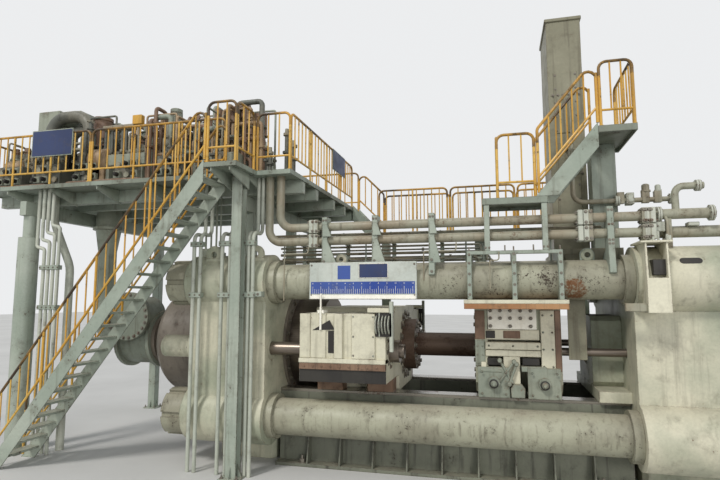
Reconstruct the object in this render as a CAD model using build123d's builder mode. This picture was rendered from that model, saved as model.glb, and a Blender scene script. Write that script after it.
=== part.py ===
"""Horizontal hydraulic extrusion press with its platform, stairs, walkways and pipework.

Millimetres. +X is the extrusion direction, from the main cylinder to the front platen, and +Z is up.
The origin is on the ground under the press axis, midway between the two platens.
The operator's side is at -Y. Names with "near" are on that side, and names with "far" on the other.
"""

from build123d import *
import os

os.makedirs("parts", exist_ok=True)

# Press axis and tie rods
axis_z = 2170
rod_dy = 1600
rod_dz = 1230
sleeve_d = 650
rod_d = 500
daylight = 6200
collar_d = 800
collar_length = 150
nut_d = 880
nut_length = 420
nut_slot = 90
thread_proud = 60
fit_gap = 0.3

# Platens
rear_thickness = 1500
front_thickness = 1900
boss_d = 1040
boss_proud = 140
platen_side_cut = 150
front_side_cut = 400
platen_top_cut = 150
pedestal_half = 1050
pedestal_inset = 150
exit_bore_d = 900
platen_chamfer = 40

# Main cylinder, ram and side cylinders
ram_d = 1900
gland_gap = 2
cylinder_wall = 148
cylinder_tail = 1600
cylinder_floor = 250
cylinder_flange_lip = 180
cylinder_flange_length = 160
cylinder_dome = 300
cylinder_neck_d = 900
cylinder_neck_length = 300
neck_flange_d = 1120
neck_flange_length = 90
gland_ring_length = 60
gland_ring_lip = 40
ram_rear_space = 700
side_cylinder_dy = 1640
side_cylinder_d = 420
side_cylinder_tail = 740
side_cylinder_floor = 160
side_flange_d = 580
side_flange_length = 120
side_rod_d = 240
side_rod_gap = 5
side_rod_travel = 600
side_nut_d = 390
side_nut_length = 180
side_rod_proud = 260

# Prefill valve and suction pipe
valve_d = 1120
valve_length = 900
valve_flange_lip = 80
cover_nozzle_d = 860
cover_nozzle_z = 2700
cover_face_y = -800
cover_flange_d = 1060
cover_flange_length = 110
suction_x = -8210
suction_d = 420
suction_bend = 440
suction_cone_z = 4220
suction_flange_z = 4750
suction_vessel_d = 580
suction_flange_d = 710
suction_flange_length = 70

# Bed and rails
bed_dy = 1020
beam_width = 340
rail_top_z = 1380
rail_thickness = 50
rail_chamfer = 10
bed_flange_width = 760
bed_flange_thickness = 60
cross_member_length = 500
cross_member_height = 700
bed_rib_pitch = 620
bed_rib_thickness = 30
bed_rib_drop = 200
anchor_d = 60
anchor_dx = 5200
anchor_edge = 90

# Crosshead and stem
crosshead_back = -2400
crosshead_length = 1550
crosshead_arm_y = 2050
crosshead_arm_top = 660
crosshead_arm_drop = 520
crosshead_body_half = 1150
crosshead_top = 760
crosshead_keel_half = 760
crosshead_keel = 820
crosshead_shoe_length = 500
shoe_chamfer = 25
crosshead_pocket = 420
crosshead_pocket_depth = 340
crosshead_chamfer = 30
stem_d = 460
stem_tip = 1300
dummy_d = 500
dummy_length = 200
stem_flange_d = 1000
stem_flange_length = 250
pointer_x = -2000
pointer_y = -2085
pointer_top_z = 3180
pointer_width = 30
pointer_thickness = 20

# Container
container_back = 600
container_length = 1460
container_d = 1750
container_plate = 220
container_half_y = 1150
container_top = 1080
container_bottom = 740
container_corner = 180
container_bore_d = 560
liner_d = 900
container_rod_dy = 1010
container_rod_d = 140
container_rod_tail = 220
container_cylinder_d = 320
container_cylinder_length = 900
container_flange_d = 440
casing_face_y = 1120
casing_inner_y = 620
casing_bottom_z = 2480
casing_top_z = 3080
keeper_y = 1260
keeper_top_z = 1900
keeper_length = 540
keeper_boss_d = 200
keeper_boss_proud = 60
cover_left = 830
cover_right = 1660
cover_bottom_z = 2550
cover_top_z = 3010
cover_thickness = 30

# Die end and shear
die_back = 2600
die_half_y = 750
die_half_z = 610
die_bore_d = 600
die_bed_half = 1300
shear_back = 2060
shear_length = 620
shear_half_y = 600
shear_top_z = 8500
shear_bottom_z = 3330
shear_wall = 40
shear_blade_z = 3300
shear_slide_top = 5400
shear_rod_d = 320
bridge_back = 2050
bridge_bottom_z = 3600
bridge_top_z = 3950
bridge_half_y = 1240
bridge_chamfer = 60
guard_left = 2160
guard_length = 290
guard_thickness = 25
guard_top_z = 3850
guard_bottom_z = 2060

# Scale plate on the near upper rod
scale_left = -2240
scale_right = -310
scale_bottom_z = 3080
scale_top_z = 3730
scale_y = -2000
scale_thickness = 20
standoff_width = 80
standoff_height = 200

# Saddle frame on the near upper rod
saddle_left = 530
saddle_right = 2045
saddle_front_y = -1990
saddle_post_width = 75
saddle_top_z = 3880
saddle_bar = 60
saddle_beam_height = 150
saddle_beam_bottom_z = 2920
saddle_beam_lap = 60

# Railings
rail_height = 1100
rail_lower = 240
rail_bar = 45
rail_thick = 34
baluster = 22
baluster_pitch = 180
balusters_per_post = 6
rail_inset = 30

# Platform
deck_z = 5450
deck_thickness = 60
platform_left = -9900
platform_right = -2580
platform_near = -2150
platform_far = 2900
edge_height = 90
edge_thickness = 20
joist_rows = (-1400, -600, 600, 1500, 2400)
joist_height = 260
joist_width = 160
header_height = 300
header_width = 160
header_rows = (-8600, -3850)
column_left_width = 400
column_left_y = -1900
column_left_top_z = 4370
column_left_neck = 250
column_far_y = 2600
column_width = 200
platen_post_y = 1100
gusset_first = 880
gusset_pitch = 1120
gusset_count = 6
gusset_thickness = 24
gusset_depth = 300
gusset_nose = 160
landing_gusset_inset = 120
landing_left = -3880
landing_right = -3260
landing_near = -2940
landing_column_x = -3520
landing_column_y = -2275

# Main stair
stair_risers = 23
stair_going = 184
stringer_drop = 406
stringer_lift = 60
stringer_thickness = 16
tread_thickness = 35
tread_overlap = 46

# Side access
side_near = -2000
small_landing_left = 800
small_landing_right = 1850
small_landing_z = 4760
small_landing_back = -1250
small_post_x = (870, 1790)
small_post = 90
upper_landing_left = 2660
upper_landing_right = 3240
upper_landing_z = 5870
upper_landing_back = -600
side_stair_risers = 5
side_deck = 50
side_deck_edge = 110
side_stair_inset = 130
column_box = 400
column_box_left = 2690
column_box_near = -1025

# Far walkway
walkway_near = 2100
walkway_right = 3100
walkway_z = 4760
walkway_posts_x = (-1780, 600, 3000)
link_risers = 3
link_going = 220
link_width = 700

# Twin pipes along the near upper rod
twin_y = -1820
twin_d = 155
twin_upper_z = 4395
twin_lower_z = 4135
twin_upper_start = -2900
twin_lower_start = -3120
twin_right = 3400
twin_bend = 250
twin_flange_x = (-2250, 2390, 3240)
twin_flange = 240
twin_flange_length = 130
bracket_x = (-1990, -1060, -60, 2780)
rod_bracket_width = 100
rod_bracket_top = 4560

# Lifting eyes on the upper rods
eye_x = (-1760, 2460)
eye_width = 228
eye_height = 200
eye_hole_d = 84
eye_thickness = 70

# Bracket on the front platen's near side
bracket_left = 3170
bracket_right = 3490
bracket_near = -2290
bracket_bottom_z = 2880
bracket_shelf_z = 3400
bracket_top_z = 3930
bracket_plate = 30
bracket_plate_lap = 60

# Pipework over the front platen
side_pipe_y = -1150
side_pipe_d = 85
side_pipe_x = 2350
side_pipe_top_z = 5870
side_pipe_level_z = 4770
side_pipe_right = 3950
side_pipe_valves = (3110, 3500, 3690)
side_pipe_valve = 110
vessel_y = -1760
vessel_z = 4420
vessel_d = 165
vessel_right = 4310
outlet_y = -1600
outlet_z = 4150
outlet_d = 185
outlet_right = 5000
outlet_flange_d = 280
outlet_flange_length = 60
outlet_support_x = (3650, 4700)
outlet_support = 80

# Pipe risers beside the rear platen and at the left column
riser_d = 70
riser_x = (-4475, -4340, -3890, -3730, -3360, -3270)
riser_y = -2175
riser_shift_z = 4300
riser_inner_y = -1800
riser_bend = 130
clamp_z = (3157, 4100)
clamp_height = 90
clamp_proud = 20
left_riser_x = (-8150, -8030, -7910, -7790)
left_riser_y = -1930
left_riser_shift = 200
left_riser_step_z = (4120, 4270, 4420, 4570)
left_clamp_z = (2910, 3730)
big_riser_d = 160
big_riser_y = -1590
big_riser_x = -7800
big_riser_shift = 480
big_riser_mid_z = 4250

# Accumulators and headers on the platform
bottle_x = (-6350, -6000, -5650, -5300, -4950, -4600)
bottle_y = 350
bottle_d = 280
bottle_height = 1650
bottle_neck_d = 110
bottle_neck_height = 120
header_z = 700
header_d = 150
header_y = -780
arch_x = (-8500, -7700)
arch_y = -1060
arch_d = 230
arch_top = 1500
arch_bend = 330

# Hydraulics on the platform
tank_left = -9500
tank_length = 4600
tank_near = 1000
tank_width = 1500
tank_height = 1500
tank_corner = 200
pump_x = (-9200, -7900, -6600, -5300)
pump_y = -300
motor_d = 520
motor_length = 850
motor_seat = 40
pump_base_height = 220
manifold_x = (-9300, -8300, -7300, -6300, -5300, -4400)
manifold_y = -1570
manifold_width = 620
manifold_depth = 520
manifold_height = 520
cartridge_d = 190
cartridge_height = 330

rear_face = -daylight / 2
front_face = daylight / 2
rear_back = rear_face - rear_thickness
front_end = front_face + front_thickness
tail_x = rear_back - cylinder_tail
beam_top = rail_top_z - rail_thickness
shoe_z = rail_top_z + fit_gap
bore_r = ram_d / 2 + gland_gap
body_r = bore_r + cylinder_wall
crosshead_front = crosshead_back + crosshead_length
container_front = container_back + container_length
platen_bottom = axis_z - rod_dz - boss_d / 2 + platen_top_cut
platen_top = axis_z + rod_dz + boss_d / 2 - platen_top_cut
deck_under = deck_z - deck_thickness
joist_under = deck_under - joist_height
header_under = joist_under - header_height
rod_level = axis_z + rod_dz
half_rail = rail_thick / 2
corner = half_rail + fit_gap
rod_places = [(side * rod_dy, axis_z + level * rod_dz) for side in (-1, 1) for level in (1, -1)]


def keep(built, name):
    """Label a finished piece and write its file."""
    built.part.label = name
    export_step(built.part, f"parts/{name}.step")


def across(x):
    """A plane square to the press axis at x: its own x is +Y and its own y is +Z."""
    return Plane.YZ.offset(x)


def upright(y):
    """A plane along the press at y, seen from the operator's side: its own x is +X and its own y is +Z."""
    return Plane.XZ.offset(-y)


def box_between(x0, x1, y0, y1, z0, z1, mode=Mode.ADD):
    """A box given by its two corners."""
    with Locations(((x0 + x1) / 2, (y0 + y1) / 2, (z0 + z1) / 2)):
        Box(abs(x1 - x0), abs(y1 - y0), abs(z1 - z0), mode=mode)


def bar_between(x0, x1, y, z, diameter, mode=Mode.ADD):
    """A round bar along the press."""
    with BuildSketch(across(x0)) as section:
        with Locations((y, z)):
            Circle(diameter / 2)
    extrude(section.sketch, amount=x1 - x0, mode=mode)


def round_post(x, y, z0, z1, diameter, mode=Mode.ADD):
    """A round upright bar."""
    with BuildSketch(Plane.XY.offset(z0)) as section:
        with Locations((x, y)):
            Circle(diameter / 2)
    extrude(section.sketch, amount=z1 - z0, mode=mode)


def platen_outline(side_cut):
    """Outline of a cast platen: a plate whose four corners are round bosses about the tie rods."""
    with Locations((0, axis_z)):
        Rectangle(2 * rod_dy + boss_d - 2 * side_cut, 2 * rod_dz)
        Rectangle(2 * rod_dy, 2 * rod_dz + boss_d - 2 * platen_top_cut)
    with Locations(*rod_places):
        Circle(boss_d / 2)


def pipe_along(points, diameter, bend):
    """A round pipe whose centreline runs through the points, with every corner bent to one radius."""
    with BuildLine() as route:
        FilletPolyline(*points, radius=bend)
    with BuildSketch(Plane(origin=points[0], z_dir=Vector(*points[1]) - Vector(*points[0]))) as section:
        Circle(diameter / 2)
    sweep(section.sketch, path=route.wire())


def leaning(x0, x1, y0, y1, slope):
    """Corners of a bar in a panel that climbs by slope, with its upright sides kept upright."""
    return [(x0, y0 + slope * x0), (x1, y0 + slope * x1), (x1, y1 + slope * x1), (x0, y1 + slope * x0)]


def railing(start, end):
    """A railing panel from start to end: posts, balusters, a top rail and a low rail in one plane."""
    along = Vector(end[0] - start[0], end[1] - start[1], 0)
    length = along.length
    slope = (end[2] - start[2]) / length
    count = max(1, round(length / baluster_pitch))
    bars = [(0, length, rail_height - rail_bar, rail_height), (0, length, rail_lower, rail_lower + rail_bar)]
    for number in range(count + 1):
        post = number % balusters_per_post == 0 or number == count
        width = rail_bar if post else baluster
        left = number * (length - width) / count
        foot = 0 if post else rail_lower
        bars.append((left, left + width, foot, rail_height))
    with BuildSketch(Plane(origin=start, x_dir=along, z_dir=along.cross(Vector(0, 0, 1)))) as panel:
        for bar in bars:
            with BuildLine():
                Polyline(*leaning(*bar, slope), close=True)
            make_face()
    extrude(panel.sketch, amount=rail_thick / 2, both=True)


def stringers(foot, head, faces):
    """Two flat stringers whose top edge runs stringer_lift above the nosings, cut level at the foot."""
    slope = (head[1] - foot[1]) / (head[0] - foot[0])
    for face, inward in faces:
        with BuildSketch(upright(face)) as plate:
            with BuildLine():
                Polyline(
                    (foot[0] - stringer_lift / slope, foot[1]),
                    (foot[0] + (stringer_drop - stringer_lift) / slope, foot[1]),
                    (head[0], head[1] - stringer_drop + stringer_lift),
                    (head[0], head[1] + stringer_lift),
                    close=True,
                )
            make_face()
        extrude(plate.sketch, amount=-inward * stringer_thickness)


def treads(foot, head, near, far, risers):
    """Flat treads between the stringers, from the first above the foot to the last below the head."""
    going = (head[0] - foot[0]) / risers
    rise = (head[1] - foot[1]) / risers
    back = tread_overlap if going > 0 else -tread_overlap
    for number in range(1, risers):
        nosing = foot[0] + number * going
        top = foot[1] + number * rise
        box_between(
            nosing - back,
            nosing + going,
            near + stringer_thickness,
            far - stringer_thickness,
            top - tread_thickness,
            top,
        )


# Platens: thick cast plates with bosses that the tie rods pass through
with BuildPart() as rear_platen:
    with BuildSketch(across(rear_back)):
        platen_outline(platen_side_cut)
    extrude(amount=rear_thickness)
    with BuildSketch(across(rear_back - boss_proud)):
        with Locations(*rod_places):
            Circle(boss_d / 2)
    extrude(amount=boss_proud)
    chamfer(rear_platen.faces().sort_by(Axis.X)[:4].edges(), platen_chamfer)
    for rod_y, rod_z in rod_places:
        bar_between(rear_back - boss_proud, rear_face, rod_y, rod_z, rod_d, Mode.SUBTRACT)
    bar_between(rear_back, rear_face, 0, axis_z, 2 * body_r, Mode.SUBTRACT)
    for side in (-1, 1):
        bar_between(rear_back, rear_face, side * side_cylinder_dy, axis_z, side_cylinder_d, Mode.SUBTRACT)
keep(rear_platen, "rear_platen")

with BuildPart() as front_platen:
    with BuildSketch(across(front_face)):
        platen_outline(front_side_cut)
    extrude(amount=front_thickness)
    with BuildSketch(across(front_end)):
        with Locations(*rod_places):
            Circle(boss_d / 2)
    extrude(amount=boss_proud)
    chamfer(front_platen.faces().sort_by(Axis.X)[-4:].edges(), platen_chamfer)
    for rod_y, rod_z in rod_places:
        bar_between(front_face, front_end + boss_proud, rod_y, rod_z, rod_d, Mode.SUBTRACT)
    bar_between(front_face, front_end, 0, axis_z, exit_bore_d, Mode.SUBTRACT)
    rod_hole = container_rod_d + 2 * side_rod_gap
    for side in (-1, 1):
        bar_between(front_face, front_end, side * container_rod_dy, axis_z, rod_hole, Mode.SUBTRACT)
keep(front_platen, "front_platen")

with BuildPart() as pedestals:
    for start, end in ((rear_back, rear_face), (front_face, front_end)):
        box_between(
            start + pedestal_inset, end - pedestal_inset, -pedestal_half, pedestal_half, 0, platen_bottom
        )
    chamfer(pedestals.edges().filter_by(Axis.Z), 2 * platen_chamfer)
keep(pedestals, "platen_pedestals")

# Tie rods: a sleeve between the platens over a rod that runs through them into its nuts
rod_tail = boss_proud + nut_length + thread_proud
with BuildPart() as tie_rods:
    for rod_y, rod_z in rod_places:
        bar_between(rear_back - rod_tail, front_end + rod_tail, rod_y, rod_z, rod_d)
        bar_between(rear_face, front_face, rod_y, rod_z, sleeve_d)
        bar_between(rear_face, rear_face + collar_length, rod_y, rod_z, collar_d)
        bar_between(front_face - collar_length, front_face, rod_y, rod_z, collar_d)
keep(tie_rods, "tie_rods")

with BuildPart() as nuts:
    for nut_start in (rear_back - boss_proud - nut_length, front_end + boss_proud):
        with BuildSketch(across(nut_start)):
            for rod_place in rod_places:
                with Locations(rod_place):
                    Circle(nut_d / 2)
                    Circle(rod_d / 2, mode=Mode.SUBTRACT)
                    with PolarLocations(nut_d / 2, 6):
                        Rectangle(nut_slot, nut_slot, mode=Mode.SUBTRACT)
        extrude(amount=nut_length)
keep(nuts, "tie_rod_nuts")

# Main cylinder: a turned body through the rear platen, domed at the tail, with a neck for the prefill valve
neck_r = cylinder_neck_d / 2
neck_end = tail_x - cylinder_neck_length
with BuildPart() as main_cylinder:
    with BuildSketch(Plane(origin=(0, 0, axis_z), x_dir=(1, 0, 0), z_dir=(0, -1, 0))):
        with BuildLine():
            Polyline(
                (tail_x + cylinder_dome, body_r),
                (rear_back - cylinder_flange_length, body_r),
                (rear_back - cylinder_flange_length, body_r + cylinder_flange_lip),
                (rear_back, body_r + cylinder_flange_lip),
                (rear_back, body_r),
                (rear_face, body_r),
                (rear_face, body_r + gland_ring_lip),
                (rear_face + gland_ring_length, body_r + gland_ring_lip),
                (rear_face + gland_ring_length, bore_r),
                (tail_x + cylinder_floor, bore_r),
                (tail_x + cylinder_floor, 0),
                (neck_end, 0),
                (neck_end, neck_flange_d / 2),
                (neck_end + neck_flange_length, neck_flange_d / 2),
                (neck_end + neck_flange_length, neck_r),
                (tail_x, neck_r),
            )
            ThreePointArc(
                (tail_x, neck_r),
                (tail_x + cylinder_dome / 4, body_r - cylinder_dome * 0.8),
                (tail_x + cylinder_dome, body_r),
            )
        make_face()
    revolve(axis=Axis((0, 0, axis_z), (1, 0, 0)))
keep(main_cylinder, "main_cylinder")

# Return cylinders: a pair beside the main cylinder, and a pair behind the front platen for the container
with BuildPart() as return_cylinders:
    side_start = rear_back - side_cylinder_tail
    shifter_end = front_end + container_cylinder_length
    for side in (-1, 1):
        y = side * side_cylinder_dy
        bar_between(side_start, rear_face, y, axis_z, side_cylinder_d)
        bar_between(rear_back - side_flange_length, rear_back, y, axis_z, side_flange_d)
        bar_between(
            side_start + side_cylinder_floor,
            rear_face,
            y,
            axis_z,
            side_rod_d + 2 * side_rod_gap,
            Mode.SUBTRACT,
        )
        y = side * container_rod_dy
        bar_between(front_end, shifter_end, y, axis_z, container_cylinder_d)
        bar_between(front_end, front_end + side_flange_length, y, axis_z, container_flange_d)
        bar_between(front_end, shifter_end - side_flange_length, y, axis_z, rod_hole, Mode.SUBTRACT)
keep(return_cylinders, "return_cylinders")

# Prefill valve: a body on the cylinder's neck, with a bolted cover towards the operator's side
valve_x = neck_end - valve_length / 2
with BuildPart() as prefill_valve:
    bar_between(neck_end - valve_length, neck_end, 0, axis_z, valve_d)
    for start in (neck_end - valve_length, neck_end - neck_flange_length):
        bar_between(start, start + neck_flange_length, 0, axis_z, valve_d + 2 * valve_flange_lip)
    with BuildSketch(upright(0)):
        with Locations((valve_x, cover_nozzle_z)):
            Circle(cover_nozzle_d / 2)
    extrude(amount=-cover_face_y)
    with BuildSketch(upright(cover_face_y + cover_flange_length)):
        with Locations((valve_x, cover_nozzle_z)):
            Circle(cover_flange_d / 2)
    extrude(amount=cover_flange_length)
keep(prefill_valve, "prefill_valve")

with BuildPart() as suction_pipe:
    pipe_along(
        [(neck_end - valve_length, 0, axis_z), (suction_x, 0, axis_z), (suction_x, 0, suction_cone_z)],
        suction_d,
        suction_bend,
    )
    with BuildSketch(Plane.XY.offset(suction_cone_z)):
        with Locations((suction_x, 0)):
            Circle(suction_d / 2)
    with BuildSketch(Plane.XY.offset(suction_flange_z)):
        with Locations((suction_x, 0)):
            Circle(suction_vessel_d / 2)
    loft()
    round_post(suction_x, 0, suction_flange_z, deck_under, suction_vessel_d)
    round_post(suction_x, 0, suction_flange_z, suction_flange_z + suction_flange_length, suction_flange_d)
keep(suction_pipe, "suction_pipe")

# Bed: two fabricated beams with ribs, on wide bottom flanges with anchor holes, joined by cross members
flange_edge = bed_dy + bed_flange_width / 2
with BuildPart() as base_frame:
    for side in (-1, 1):
        centre = side * bed_dy
        box_between(rear_face, front_face, centre - beam_width / 2, centre + beam_width / 2, 0, beam_top)
        box_between(
            rear_face,
            front_face,
            centre - bed_flange_width / 2,
            centre + bed_flange_width / 2,
            0,
            bed_flange_thickness,
        )
    rib_count = int(daylight / bed_rib_pitch) - 1
    for number in range(rib_count):
        rib_x = (number - (rib_count - 1) / 2) * bed_rib_pitch
        for side in (-1, 1):
            with BuildSketch(across(rib_x - bed_rib_thickness / 2)):
                with BuildLine():
                    Polyline(
                        (side * (bed_dy + beam_width / 2), bed_flange_thickness),
                        (side * flange_edge, bed_flange_thickness),
                        (side * (bed_dy + beam_width / 2), beam_top - bed_rib_drop),
                        close=True,
                    )
                make_face()
            extrude(amount=bed_rib_thickness)
    for x in (-anchor_dx / 2, anchor_dx / 2):
        for y in (anchor_edge - flange_edge, flange_edge - anchor_edge):
            round_post(x, y, 0, bed_flange_thickness, anchor_d, Mode.SUBTRACT)
keep(base_frame, "base_frame")

beam_inside = bed_dy - beam_width / 2
flange_inside = bed_dy - bed_flange_width / 2
with BuildPart() as bed_cross_members:
    for x in (rear_face + cross_member_length / 2, 0, front_face - cross_member_length / 2):
        member_start = x - cross_member_length / 2
        member_end = x + cross_member_length / 2
        member_top = bed_flange_thickness + cross_member_height
        box_between(member_start, member_end, -flange_inside, flange_inside, 0, bed_flange_thickness)
        box_between(member_start, member_end, -beam_inside, beam_inside, bed_flange_thickness, member_top)
keep(bed_cross_members, "bed_cross_members")

with BuildPart() as guide_rails:
    for side in (-1, 1):
        centre = side * bed_dy
        box_between(
            rear_face, front_face, centre - beam_width / 2, centre + beam_width / 2, beam_top, rail_top_z
        )
    chamfer(guide_rails.faces().sort_by(Axis.Z)[-2:].edges().filter_by(Axis.X), rail_chamfer)
keep(guide_rails, "guide_rails")

# Crosshead: a cross-shaped casting with arms for the side rods, on shoes that run on the rails
with BuildPart() as crosshead:
    with BuildSketch(across(crosshead_back)):
        with Locations((0, axis_z + (crosshead_arm_top - crosshead_arm_drop) / 2)):
            Rectangle(2 * crosshead_arm_y, crosshead_arm_top + crosshead_arm_drop)
        with Locations((0, axis_z + crosshead_top / 2)):
            Rectangle(2 * crosshead_body_half, crosshead_top)
        with Locations((0, axis_z - crosshead_keel / 2)):
            Rectangle(2 * crosshead_keel_half, crosshead_keel)
    extrude(amount=crosshead_length)
    chamfer(crosshead.edges().filter_by(Axis.X), crosshead_chamfer)
    for side in (-1, 1):
        with BuildSketch(Plane.XY.offset(axis_z + crosshead_arm_top)):
            with Locations((crosshead_back + crosshead_length * 0.6, side * side_cylinder_dy)):
                Rectangle(crosshead_pocket, crosshead_pocket)
        extrude(amount=-crosshead_pocket_depth, mode=Mode.SUBTRACT)
        bar_between(
            crosshead_back, crosshead_front, side * side_cylinder_dy, axis_z, side_rod_d, Mode.SUBTRACT
        )
keep(crosshead, "crosshead")

with BuildPart() as crosshead_shoes:
    arm_under = axis_z - crosshead_arm_drop
    for side in (-1, 1):
        for x in (crosshead_back + platen_chamfer, crosshead_front - crosshead_shoe_length - platen_chamfer):
            box_between(
                x,
                x + crosshead_shoe_length,
                side * bed_dy - beam_width / 2,
                side * bed_dy + beam_width / 2,
                shoe_z,
                arm_under,
            )
    chamfer(crosshead_shoes.edges().filter_by(Axis.Z), shoe_chamfer)
keep(crosshead_shoes, "crosshead_shoes")

with BuildPart() as main_ram:
    bar_between(tail_x + cylinder_floor + ram_rear_space, crosshead_back, 0, axis_z, ram_d)
    chamfer(main_ram.faces().sort_by(Axis.X)[0].edges(), platen_chamfer)
keep(main_ram, "main_ram")

with BuildPart() as side_rods:
    for side in (-1, 1):
        y = side * side_cylinder_dy
        bar_between(
            rear_back - side_cylinder_tail + side_cylinder_floor + side_rod_travel,
            crosshead_front + side_rod_proud,
            y,
            axis_z,
            side_rod_d,
        )
        bar_between(crosshead_front, crosshead_front + side_nut_length, y, axis_z, side_nut_d)
keep(side_rods, "side_rods")

with BuildPart() as stem:
    bar_between(crosshead_front, crosshead_front + stem_flange_length, 0, axis_z, stem_flange_d)
    bar_between(crosshead_front + stem_flange_length, stem_tip - dummy_length, 0, axis_z, stem_d)
    bar_between(stem_tip - dummy_length, stem_tip, 0, axis_z, dummy_d)
keep(stem, "stem")

with BuildPart() as pointer:
    pointer_foot = axis_z + crosshead_arm_top
    box_between(
        pointer_x - 2 * pointer_width,
        pointer_x + 2 * pointer_width,
        pointer_y - pointer_thickness / 2,
        -crosshead_arm_y + 5 * pointer_width,
        pointer_foot,
        pointer_foot + 2 * pointer_width,
    )
    box_between(
        pointer_x - pointer_width / 2,
        pointer_x + pointer_width / 2,
        pointer_y - pointer_thickness / 2,
        pointer_y + pointer_thickness / 2,
        pointer_foot + 2 * pointer_width,
        pointer_top_z,
    )
keep(pointer, "pointer")

# Container: two thick plates on a round body, side casings, and the billet bore through a liner
body_start = container_back + container_plate
body_end = container_front - container_plate
with BuildPart() as container_housing:
    for plate_start in (container_back, body_end):
        with BuildSketch(across(plate_start)):
            with Locations((0, axis_z + (container_top - container_bottom) / 2)):
                Rectangle(2 * container_half_y, container_top + container_bottom)
        extrude(amount=container_plate)
    chamfer(container_housing.edges().filter_by(Axis.X), container_corner)
    bar_between(body_start, body_end, 0, axis_z, container_d)
    for side in (-1, 1):
        box_between(
            body_start, body_end, side * casing_inner_y, side * casing_face_y, casing_bottom_z, casing_top_z
        )
        y = side * container_rod_dy
        bar_between(body_end, container_front, y, axis_z, container_rod_d, Mode.SUBTRACT)
    bar_between(container_back, container_front, 0, axis_z, liner_d, Mode.SUBTRACT)
keep(container_housing, "container_housing")

with BuildPart() as container_liner:
    bar_between(container_back, container_front, 0, axis_z, liner_d)
    bar_between(container_back, container_front, 0, axis_z, container_bore_d, Mode.SUBTRACT)
keep(container_liner, "container_liner")

with BuildPart() as cover_plate:
    box_between(
        cover_left, cover_right, -casing_face_y - cover_thickness, -casing_face_y, cover_bottom_z, cover_top_z
    )
keep(cover_plate, "cover_plate")

with BuildPart() as container_shoes:
    pad_top = axis_z - container_bottom
    for side in (-1, 1):
        for x in (container_back + platen_chamfer, container_front - platen_chamfer - keeper_length):
            box_between(
                x,
                x + keeper_length,
                side * bed_dy - beam_width / 2,
                side * bed_dy + beam_width / 2,
                shoe_z,
                pad_top,
            )
            box_between(
                x, x + keeper_length, side * container_half_y, side * keeper_y, shoe_z, keeper_top_z
            )
            with BuildSketch(upright(side * container_half_y)):
                with Locations((x + keeper_length / 2, (shoe_z + keeper_top_z) / 2)):
                    Circle(keeper_boss_d / 2)
            extrude(amount=-side * (keeper_y + keeper_boss_proud - container_half_y))
keep(container_shoes, "container_shoes")

with BuildPart() as container_rods:
    for side in (-1, 1):
        y = side * container_rod_dy
        bar_between(body_end, front_end + container_rod_tail, y, axis_z, container_rod_d)
keep(container_rods, "container_rods")

# Die carrier on its bed, in front of the exit through the front platen
with BuildPart() as die_carrier:
    box_between(die_back, front_face, -die_half_y, die_half_y, axis_z - die_half_z, axis_z + die_half_z)
    chamfer(die_carrier.edges().filter_by(Axis.X), 2 * platen_chamfer)
    bar_between(die_back, front_face, 0, axis_z, die_bore_d, Mode.SUBTRACT)
keep(die_carrier, "die_carrier")

with BuildPart() as die_bed:
    box_between(die_back, front_face, -die_bed_half, die_bed_half, rail_top_z, axis_z - die_half_z)
keep(die_bed, "die_bed")

# Shear: a bridge on the front platen's face carries a tall housing, and the blade hangs in it
shear_front = shear_back + shear_length
with BuildPart() as shear_bridge:
    box_between(bridge_back, front_face, -bridge_half_y, bridge_half_y, bridge_bottom_z, bridge_top_z)
    box_between(
        shear_back, shear_front, -shear_half_y, shear_half_y, bridge_bottom_z, bridge_top_z, Mode.SUBTRACT
    )
    chamfer(shear_bridge.edges().filter_by(Axis.Z).group_by(Axis.X)[0], bridge_chamfer)
keep(shear_bridge, "shear_bridge")

with BuildPart() as shear_housing:
    box_between(shear_back, shear_front, -shear_half_y, shear_half_y, shear_bottom_z, shear_top_z)
    box_between(
        shear_back + shear_wall,
        shear_front - shear_wall,
        shear_wall - shear_half_y,
        shear_half_y - shear_wall,
        shear_bottom_z,
        shear_top_z - shear_wall,
        Mode.SUBTRACT,
    )
keep(shear_housing, "shear_housing")

with BuildPart() as shear_slide:
    clear = shear_wall + fit_gap
    box_between(
        shear_back + clear,
        shear_front - clear,
        clear - shear_half_y,
        shear_half_y - clear,
        shear_blade_z,
        shear_slide_top,
    )
    round_post(shear_back + shear_length / 2, 0, shear_slide_top, shear_top_z - shear_wall, shear_rod_d)
keep(shear_slide, "shear_slide")

with BuildPart() as guard_panel:
    box_between(
        guard_left,
        guard_left + guard_length,
        -bridge_half_y - guard_thickness,
        -bridge_half_y,
        guard_bottom_z,
        guard_top_z,
    )
keep(guard_panel, "guard_panel")

# Scale plate: a flat plate on three stand-offs shaped to the rod
with BuildPart() as scale_board:
    box_between(scale_left, scale_right, scale_y - scale_thickness, scale_y, scale_bottom_z, scale_top_z)
    for share in (0.3, 0.5, 0.88):
        x = scale_left + share * (scale_right - scale_left)
        box_between(
            x - standoff_width / 2,
            x + standoff_width / 2,
            scale_y,
            -rod_dy - sleeve_d / 4,
            rod_level - standoff_height / 2,
            rod_level + standoff_height / 2,
        )
    bar_between(scale_left, scale_right, -rod_dy, rod_level, sleeve_d + 2 * fit_gap, Mode.SUBTRACT)
keep(scale_board, "scale_board")

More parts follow.
